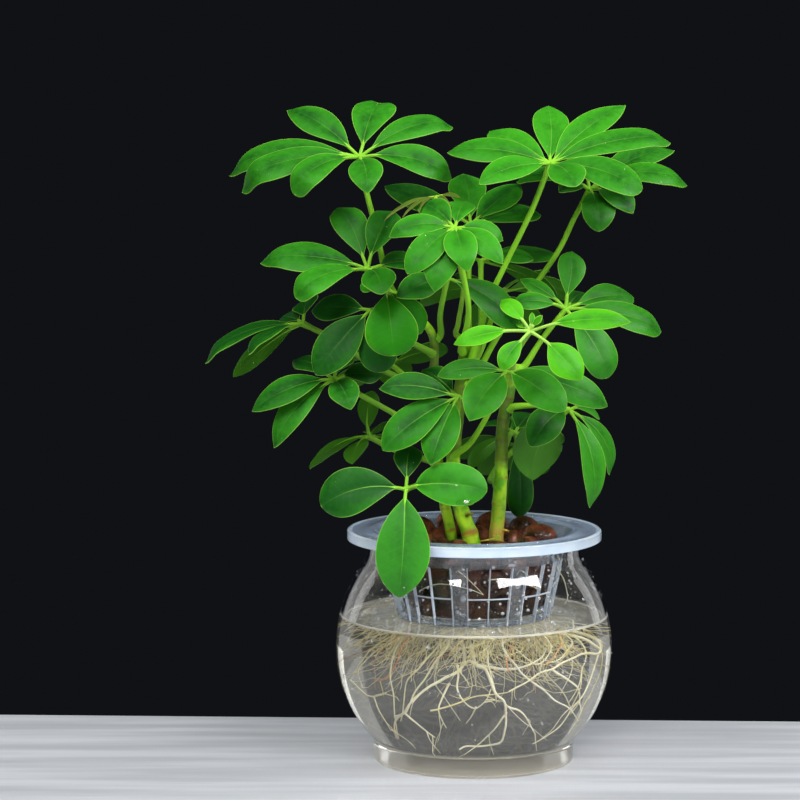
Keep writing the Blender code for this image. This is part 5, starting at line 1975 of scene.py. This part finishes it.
@dataclass
class RootMass:
    """One plant's roots: a crown, strands through the basket's floor, a mat and branching main roots."""

    node: str
    stem: Stem
    form: BowlForm
    sectors: tuple
    mat: int
    crown_radius: float = 2.9
    crown_top: float = 93.7
    floor_gap: float = 72.0
    surface: float = 70.5
    stoutness: float = 1.05
    sway_seed: int = 5

    def foot(self, height: float) -> Vector:
        """The point at a height under the middle of the trunk's foot."""
        return Vector((*self.stem.foot, height))

    def kept_in(self, point: Vector, inset: float = 1.6) -> Vector:
        """A point moved in so that it lies inside the bowl and under the water's surface.

        Args:
            point: the point.
            inset: how far it stays off the glass.

        Returns:
            The moved point.
        """
        height = min(self.surface, max(self.form.floor_height + 1.4, point.z))
        limit = self.form.radius(height, self.form.glass) - inset
        level = Vector((point.x, point.y, 0.0))
        if level.length > limit:
            level = level.normalized() * limit
        return level + Vector((0, 0, height))

    def through_water(self, right: float, up: float, away: float) -> Vector:
        """Where something really lies that is seen through the bowl, which works as a lens.

        Args:
            right: how far right it is seen.
            up: how high it is seen.
            away: how far behind the axis it lies.

        Returns:
            The point.
        """
        belly = self.form.belly_radius - self.form.glass
        share = 1.0 - 0.25 * max(0.0, belly + away) / belly
        point = seen(right, up, away)
        centre = Vector((0.0, point.y, self.form.belly_height))
        return self.kept_in(centre + (point - centre) * share)

    def wandering(self, points: list, count: int, wobble: float, draw: random.Random) -> list:
        """A strand that sways a little.

        Args:
            points: the points it passes near.
            count: how many points to return.
            wobble: how far it sways.
            draw: the plant's random numbers.

        Returns:
            Its points.
        """
        shift = Vector((draw.uniform(0, 50), draw.uniform(0, 50), draw.uniform(0, 50)))
        return [point + noise.noise_vector(point * 0.09 + shift) * wobble * min(1.0, index / 4)
                for index, point in enumerate(spline_through(points, count))]

    def way_out(self, draw: random.Random) -> list:
        """The first points of a strand: from the crown down the bundle and through the floor.

        Args:
            draw: the plant's random numbers.

        Returns:
            Two points.
        """
        aside = bearing_of(draw.uniform(0, 360)) * draw.uniform(0.6, 2.4)
        return [self.foot(0.0) + aside * 0.5 + Vector((0, 0, 89.0)),
                self.foot(0.0) + aside + Vector((0, 0, self.floor_gap))]

    def thinning(self, radius: float, count: int, end: float = 0.45) -> list:
        """Radii that narrow along a strand to a share of the first."""
        return [radius * (1.0 - (1.0 - end) * index / (count - 1)) for index in range(count)]

    def mains(self, draw: random.Random) -> list:
        """The main roots that show, and their thin branches.

        Args:
            draw: the plant's random numbers.

        Returns:
            For each its points, its radii and its tint.
        """
        made = []
        for radius, tint, places in SEEN_ROOTS[self.node]:
            shown = [self.through_water(*place) for place in places]
            if places[0][1] > 55:
                shown = self.way_out(draw) + shown
            line = self.wandering(shown, 8 * len(shown), 1.2, draw)
            line[4:] = [self.kept_in(point) if point.z < self.surface else point for point in line[4:]]
            made.append((line, self.thinning(radius * self.stoutness, len(line)), tint))
            for _ in range(draw.randint(0, 2)):
                at = draw.randrange(len(line) // 2, len(line) - 1)
                if line[at].z < self.surface - 3:
                    made.append(self.branch(line[at], line[at] - line[at - 1], tint, draw))
        return made

    def strays(self) -> list:
        """The roots that grow out between the pebbles and lie on the basket's wall.

        Returns:
            For each its points, its radii and its tint.
        """
        made = []
        for radius, places in STRAY_ROOTS[self.node]:
            shown = [seen(*place) for place in places]
            route = [self.foot(88.0), self.foot(88.0).lerp(shown[0], 0.7)] + shown
            made.append((spline_through(route, 24), self.thinning(radius, 24), 0.25))
        return made

    def branch(self, start: Vector, along: Vector, tint: float, draw: random.Random) -> tuple:
        """A thin side root that leaves a main one.

        Args:
            start: where it leaves.
            along: the way that the main root runs there.
            tint: the main root's tint.
            draw: the plant's random numbers.

        Returns:
            Its points, its radii and its tint.
        """
        reach = draw.uniform(6, 14)
        aim = along.normalized() + Vector((draw.uniform(-1, 1), draw.uniform(-1, 1), draw.uniform(-1, 0.5)))
        elbow = start + aim * reach * 0.4
        end = elbow + (aim + Vector((draw.uniform(-1, 1), draw.uniform(-1, 1), -0.4))) * reach * 0.5
        line = [self.kept_in(point) for point in self.wandering([start, elbow, end], 10, 1.5, draw)]
        return line, self.thinning(draw.uniform(0.22, 0.36), 10), min(0.7, tint + 0.1)

    def strand_of_mat(self, draw: random.Random) -> tuple:
        """A thin root of the mat that hangs just under the surface.

        Args:
            draw: the plant's random numbers.

        Returns:
            Its points, its radii and its tint.
        """
        out = bearing_of(draw.uniform(*draw.choice(self.sectors)))
        across = Vector((-out.y, out.x, 0.0))
        end = out * (self.form.radius(64.0, self.form.glass) - draw.uniform(12.0, 38.0))
        height = draw.uniform(60.0, 69.5) if draw.random() < 0.7 else draw.uniform(46.0, 62.0)
        start = self.foot(0.0) * 0.6 + out * draw.uniform(0, 14)
        points = [start + Vector((0, 0, draw.uniform(71.0, 74.5)))]
        points.append(start.lerp(end, 0.3) + Vector((0, 0, draw.uniform(64, 70))))
        points.append(start.lerp(end, 0.7) + across * draw.uniform(-9, 9)
                      + Vector((0, 0, height + draw.uniform(-3, 3))))
        points.append(end + across * draw.uniform(-14, 14) + Vector((0, 0, height - draw.uniform(0, 9))))
        line = self.wandering(points, 14, 3.0, draw)
        line[1:] = [self.kept_in(point, 1.2) for point in line[1:]]
        tint = draw.choice((0.3, 0.45, 0.5, 0.6, 0.68)) if draw.random() < 0.96 else 0.95
        return line, self.thinning(draw.uniform(0.1, 0.26), 14, 0.5), tint

    def crown(self) -> tuple:
        """The short thick crown under the trunk's foot.

        Returns:
            Its points, its radii and its tint.
        """
        heights = (self.crown_top, 92.5, 90.5, 88.5, 86.5, 84.0)
        widths = [self.crown_radius, self.crown_radius + 0.1, 2.8, 2.2, 1.6, 1.0]
        return [self.foot(height) for height in heights], widths, 0.35

    def build(self, rods: RodRule, finish: Material) -> Object:
        """Makes the roots by the rod rule and dresses them.

        Args:
            rods: the rule that grows rods.
            finish: the roots' finish.

        Returns:
            The roots.
        """
        noise.seed_set(self.sway_seed)
        draw = random.Random(self.node)
        strands = [self.crown()] + self.mains(draw) + self.strays()
        strands += [self.strand_of_mat(draw) for _ in range(self.mat)]
        lines, tints = [strand[:2] for strand in strands], [strand[2] for strand in strands]
        name = self.node.replace("roots", "root_mass")
        return fresh_object(name, rods.grow(self.node, lines, finish, 6, tint=tints))


@dataclass
class Droplets:
    """Beads of water on the glass above the water and on the basket, and dew on the leaves."""

    form: BowlForm
    basket: NetBasket

    def band(self, low: float, high: float, inset: float) -> Mesh:
        """A band of the bowl's wall to strew, its inside where it is set in, else its outside.

        Args:
            low: its lower edge.
            high: its upper edge.
            inset: how far it lies in from the outer surface.

        Returns:
            The mesh.
        """
        draft = Draft()
        heights = [low + (high - low) * row / 12 for row in range(13)]
        draft.turn([(self.form.radius(height, inset), height) for height in heights], 64)
        mesh = draft.mesh("band", outward=False)
        if inset > 0.0:
            mesh.flip_normals()
        return mesh

    def ledge(self) -> Mesh:
        """The flange's top, to strew.

        Returns:
            The mesh.
        """
        draft = Draft()
        edges = (self.basket.flange_radius - 3.2, self.basket.mouth_radius + 2.5)
        draft.turn([(edge, self.basket.top - 0.4) for edge in edges], 64)
        return draft.mesh("ledge", outward=False)

    def strips(self) -> Mesh:
        """The outer faces of the basket's strips, to strew.

        Returns:
            The mesh.
        """
        draft = Draft()
        for index in range(self.basket.panels):
            middle = self.basket.first_panel + 360.0 * index / self.basket.panels
            bearings = [middle + self.basket.strip * share for share in (-0.9, 0.0, 0.9)]
            draft.grid([[bearing_of(bearing) * (self.basket.inner_radius(height) + 1.1)
                         + Vector((0, 0, height)) for bearing in bearings]
                        for height in (78.0, 86.0, 94.0, self.basket.window_top)])
        return draft.mesh("strips", outward=False)

    def on_leaves(self, drops: tuple, whorls: dict, stones: StoneRule, finish: Material) -> Mesh:
        """The large drops that lie on leaves, or the white beads that are their painted glints.

        Args:
            drops: their whorls, places and half sizes.
            whorls: the dressed whorls, by their leaf's name.
            stones: the rule that puts a round body on each point.
            finish: the drops' material.

        Returns:
            The drops.
        """
        laid = []
        for name, spot, half_sizes in drops:
            towards = (seen(*spot) - EYE).normalized()
            _, place, facing, _ = whorls[name].ray_cast(EYE * MM, towards)
            laid.append((place, half_sizes, facing.to_track_quat("Z", "Y").to_euler()))
        return stones.lay("drops", laid, finish, Lumps=0.0, Fineness=4)

    def build(self, beads: BeadRule, finish: Material) -> Object:
        """Makes the beads on the glass and the basket.

        Args:
            beads: the strewing rule.
            finish: their material.

        Returns:
            The beads.
        """
        inside, outside = self.band(76.0, 109.0, self.form.glass), self.band(40.0, 109.0, 0.0)
        strewn = (("wall_beads", inside, finish, 48000.0, (0.18, 0.9), 3),
                  ("outer_beads", outside, finish, 11000.0, (0.2, 0.95), 4),
                  ("flange_beads", self.ledge(), finish, 9000.0, (0.3, 1.2), 5, 0.4),
                  ("strip_beads", self.strips(), finish, 45000.0, (0.4, 1.6), 7, 0.5))
        return joined("droplets", [beads.strew(*row) for row in strewn])

    def dew(self, whorls: dict, beads: BeadRule, stones: StoneRule, finish: Material,
            bright: Material) -> Object:
        """Makes the fine dew and the few large drops on the leaves, with white beads as their painted glints.

        Args:
            whorls: the dressed whorls, by their leaf's name.
            beads: the strewing rule.
            stones: the rule that puts a round body on each point.
            finish: the clear water's material.
            bright: the pale material of the fine dew and of the beads that are painted glints.

        Returns:
            The dew.
        """
        leaves = joined("leaves", [whorl.data.copy() for whorl in whorls.values()])
        fine = beads.strew("fine_dew", leaves.data, bright, 1800.0, (0.12, 0.36), 9, 0.5)
        bpy.data.objects.remove(leaves)
        films = self.on_leaves(FILMS, whorls, stones, finish)
        return joined("leaf_dew", [fine, films, self.on_leaves(SPARKS, whorls, stones, bright)])


@dataclass(frozen=True)
class Lamp:
    """A soft box lamp: its place, size in metres, power, colour, aim, turn, spread, and what shows it."""

    name: str
    place: tuple
    size: tuple
    power: float
    colour: tuple = (1.0, 1.0, 1.0)
    aim: tuple = (-0.01, 0.0, 0.17)
    roll: float = 0.0
    spread: float = 180.0
    shines: bool = True
    through: bool = False

    def build(self) -> None:
        """Makes the lamp."""
        light = bpy.data.lights.new(self.name, "AREA")
        light.shape = "RECTANGLE"
        light.size, light.size_y = self.size
        light.energy, light.color = self.power, self.colour
        light.spread = math.radians(self.spread)
        lamp = fresh_object(self.name, light)
        lamp.location = self.place
        facing = (Vector(self.aim) - Vector(self.place)).to_track_quat("-Z", "Y").to_matrix()
        lamp.rotation_euler = (facing @ Matrix.Rotation(math.radians(self.roll), 3, "Z")).to_euler()
        lamp.visible_camera = False
        lamp.visible_glossy = self.shines
        lamp.visible_transmission = self.through


@dataclass
class Studio:
    """The plain pale table, the dark room, the soft lamps and the camera at the photograph's viewpoint."""

    table_low: tuple = (-1.3, -1.6, -0.03)
    table_high: tuple = (1.3, 0.095, 0.0)
    table_skew: float = 0.042
    room: tuple = (0.0055, 0.006, 0.008, 1.0)
    camera_pitch: float = 6.32
    camera_lens: float = 145.8
    camera_reach: tuple = (0.05, 20.0)
    bounces: int = 20
    clear_bounces: int = 32
    lamps: tuple = (
        Lamp("top", (-0.2, -0.45, 1.25), (0.8, 0.55), 12.0, (1.0, 0.995, 0.98), shines=False),
        Lamp("key", (-0.75, -1.1, 0.95), (0.8, 0.7), 5.5, (1.0, 0.99, 0.97), shines=False),
        Lamp("fill", (0.9, -0.95, 0.6), (0.7, 0.8), 8.0, (0.97, 0.98, 1.0), shines=False),
        Lamp("window", (0.68, -0.43, 1.04), (0.8, 0.14), 8.0, aim=(0.02, -0.05, 0.1), roll=-23.0),
        Lamp("pane", (-0.295, -0.59, 1.03), (0.2, 0.12), 1.8, aim=(0.02, -0.05, 0.1), roll=6.0),
        Lamp("low", (-0.22, -0.95, 0.3), (0.12, 0.12), 0.065, aim=(0.01, 0.0, 0.035), spread=9.0,
             shines=False),
        Lamp("card_left", (-0.61, 0.46, 0.18), (0.18, 0.4), 0.3, shines=False, through=True),
        Lamp("card_right", (0.61, 0.46, 0.18), (0.18, 0.4), 0.36, shines=False, through=True),
        Lamp("glow_left", (-0.56, 0.6, 0.2), (0.42, 0.6), 0.28, through=True),
        Lamp("glow_right", (0.56, 0.6, 0.2), (0.42, 0.6), 0.2, through=True),
        Lamp("behind", (0.1, 1.0, 0.9), (0.9, 0.5), 6.0, shines=False),
    )

    def floor(self, finish: Material) -> Object:
        """The table top, a thin slab with rounded edges whose far edge shows behind the bowl.

        Args:
            finish: its finish.

        Returns:
            The table top.
        """
        mesh = bpy.data.meshes.new("floor")
        shape = bmesh.new()
        bmesh.ops.create_cube(shape, size=1.0)
        low, high = Vector(self.table_low), Vector(self.table_high)
        for corner in shape.verts:
            corner.co = Vector([a + (b - a) * (share + 0.5) for a, b, share in zip(low, high, corner.co)])
            corner.co.y -= self.table_skew * corner.co.x
        bmesh.ops.bevel(shape, geom=shape.edges[:], offset=0.002, segments=3, affect="EDGES")
        shape.to_mesh(mesh)
        shape.free()
        return fresh_object("floor", dress(mesh, finish))

    def camera(self) -> None:
        """Makes the camera."""
        lens = bpy.data.cameras.new("camera")
        lens.lens = self.camera_lens
        lens.clip_start, lens.clip_end = self.camera_reach
        eye = fresh_object("camera", lens)
        eye.location = EYE * MM
        eye.rotation_euler = (math.radians(90.0 - self.camera_pitch), 0.0, 0.0)
        bpy.context.scene.camera = eye

    def build(self, finish: Material) -> None:
        """Sets up the floor, room, lamps and camera, and how light is carried.

        Args:
            finish: the floor's finish.
        """
        self.floor(finish)
        self.camera()
        for lamp in self.lamps:
            lamp.build()
        scene = bpy.context.scene
        scene.world = bpy.data.worlds.new("room")
        scene.world.use_nodes = True
        scene.world.node_tree.nodes["Background"].inputs["Color"].default_value = self.room
        scene.view_settings.view_transform = "Standard"
        scene.cycles.caustics_reflective = scene.cycles.caustics_refractive = False
        scene.cycles.max_bounces = scene.cycles.transmission_bounces = self.bounces
        scene.cycles.transparent_max_bounces = self.clear_bounces


# Each plant's roots, its stem, the bearings that its mat spreads to and how many strands that has
ROOT_PLANTS = (
    ("roots_right", "stem_right", ((-62, 62),), 250),
    ("roots_middle", "stem_middle", ((-112, -68), (70, 110)), 210),
    ("roots_left", "stem_left", ((118, 242),), 250),
)

SKINS = (
    LeafSkin("leaf_green", (0.006, 0.078, 0.006), (0.042, 0.32, 0.01), (0.32, 0.62, 0.08), (0.24, 0.5, 0.06),
             (0.065, 0.25, 0.014), (0.22, 0.5, 0.04), (0.42, 1.0, 0.035), (0.14, 0.45, 0.015)),
    LeafSkin("young_green", (0.018, 0.2, 0.004), (0.09, 0.5, 0.003), (0.4, 0.7, 0.08), (0.3, 0.6, 0.06),
             (0.12, 0.34, 0.03), (0.38, 0.64, 0.11), (0.46, 0.9, 0.1), (0.25, 0.65, 0.01)),
    LeafSkin("shoot_bronze", (0.05, 0.1, 0.01), (0.12, 0.22, 0.02), (0.16, 0.15, 0.03), (0.26, 0.4, 0.05),
             (0.1, 0.1, 0.025), (0.34, 0.6, 0.06), (0.4, 0.8, 0.06), (0.22, 0.3, 0.02)),
)

CLEAR_FINISHES = (
    ClearFinish("clear_glass", (0.985, 0.99, 0.985), (0.965, 0.98, 0.972), 1.5, 0.0, 1.0,
                (0.98, 0.98, 0.98), 0.01, 0.005),
    ClearFinish("ground_glass", (0.66, 0.62, 0.54), (0.56, 0.53, 0.47), 1.5, 0.3, 0.55,
                (0.98, 0.98, 0.98)),
    ClearFinish("still_water", (0.985, 0.965, 0.9), (0.975, 0.95, 0.87), 1.333, 0.0, 0.94, (1.0, 0.99, 0.95)),
    # water_surface, pale_water and dew scatter a pale colour back, so the water's face and rim, the bubbles
    # and the beads show pale: partly painted highlights and reflections
    ClearFinish("water_surface", (0.985, 0.97, 0.89), (0.9, 0.88, 0.79), 1.333, 0.02, 0.8,
                (1.0, 0.99, 0.95), 0.02, 0.5),
    ClearFinish("pale_water", (0.97, 0.96, 0.88), (0.88, 0.86, 0.76), 1.333, 0.15, 0.6, (1.0, 0.99, 0.95)),
    ClearFinish("dew", (0.98, 0.99, 1.0), (0.92, 0.95, 0.98), 1.333, 0.0, 0.8, (0.97, 0.98, 1.0)),
    ClearFinish("leaf_water", (0.93, 1.0, 0.93), (0.9, 0.98, 0.9), 1.333, 0.0, 1.0, (0.95, 1.0, 0.95)),
    ClearFinish("clear_plastic", (0.86, 0.91, 0.97), (0.78, 0.84, 0.92), 1.46, 0.03, 0.95,
                (0.78, 0.81, 0.86)),
    ClearFinish("hazy_plastic", (0.72, 0.84, 1.0), (0.56, 0.68, 0.86), 1.46, 0.14, 0.78, (0.75, 0.79, 0.84)),
    ClearFinish("frosted_lip", (0.84, 0.93, 1.0), (0.7, 0.83, 0.98), 1.46, 0.16, 0.55, (0.75, 0.79, 0.84)),
    ClearFinish("frosted_rib", (0.94, 0.97, 1.0), (0.84, 0.9, 0.97), 1.46, 0.3, 0.35, (0.75, 0.79, 0.84)),
)


def main() -> None:
    """Builds the bowl, its contents and the plant, and sets each piece on its body."""
    rods, rings, stones, beads = RodRule(), RingRule(), StoneRule(), BeadRule()
    Studio().build(FloorFinish().material())

    form = BowlForm()
    clear = {finish.name: finish.material() for finish in CLEAR_FINISHES}
    bowl = GlassBowl(form)
    hand_over(bowl.build(clear["clear_glass"], clear["ground_glass"]), "glass", "bowl")
    water = WaterBody(form).build(bowl, clear["still_water"], clear["water_surface"], clear["pale_water"])
    hand_over(water, "water", "water")
    basket = NetBasket(form)
    net = basket.build(rings, clear["clear_plastic"], clear["hazy_plastic"], clear["frosted_lip"],
                       clear["frosted_rib"])
    hand_over(net, "plastic", "basket")
    hand_over(PebbleHeap(basket).build(stones, ClayFinish().material()), "clay", "clay_pebbles")
    drops = Droplets(form, basket)
    hand_over(drops.build(beads, clear["dew"]), "water")

    bark = BarkFinish().material()
    trunks = {stem.name: Trunk(stem) for stem in STEMS}
    for name, trunk in trunks.items():
        hand_over(trunk.build(rods, bark), "bark", name)

    skins = {skin.name: skin.material() for skin in SKINS}
    whorls = {}
    for leaf in LEAVES:
        skin = leaf.look.skin.value
        whorls[leaf.name] = LeafWhorl(leaf, trunks[leaf.grows[0]]).build(rods, skins[skin])
        hand_over(whorls[leaf.name], skin, leaf.name)
    hand_over(drops.dew(whorls, beads, stones, clear["leaf_water"], clear["pale_water"]), "water")

    cream = RootFinish().material()
    for node, stem_name, sectors, mat in ROOT_PLANTS:
        roots = RootMass(node, trunks[stem_name].stem, form, sectors, mat)
        hand_over(roots.build(rods, cream), "root_cream", node)


if __name__ == "__main__":
    logging.basicConfig(level=logging.INFO, format="%(name)s: %(message)s")
    main()
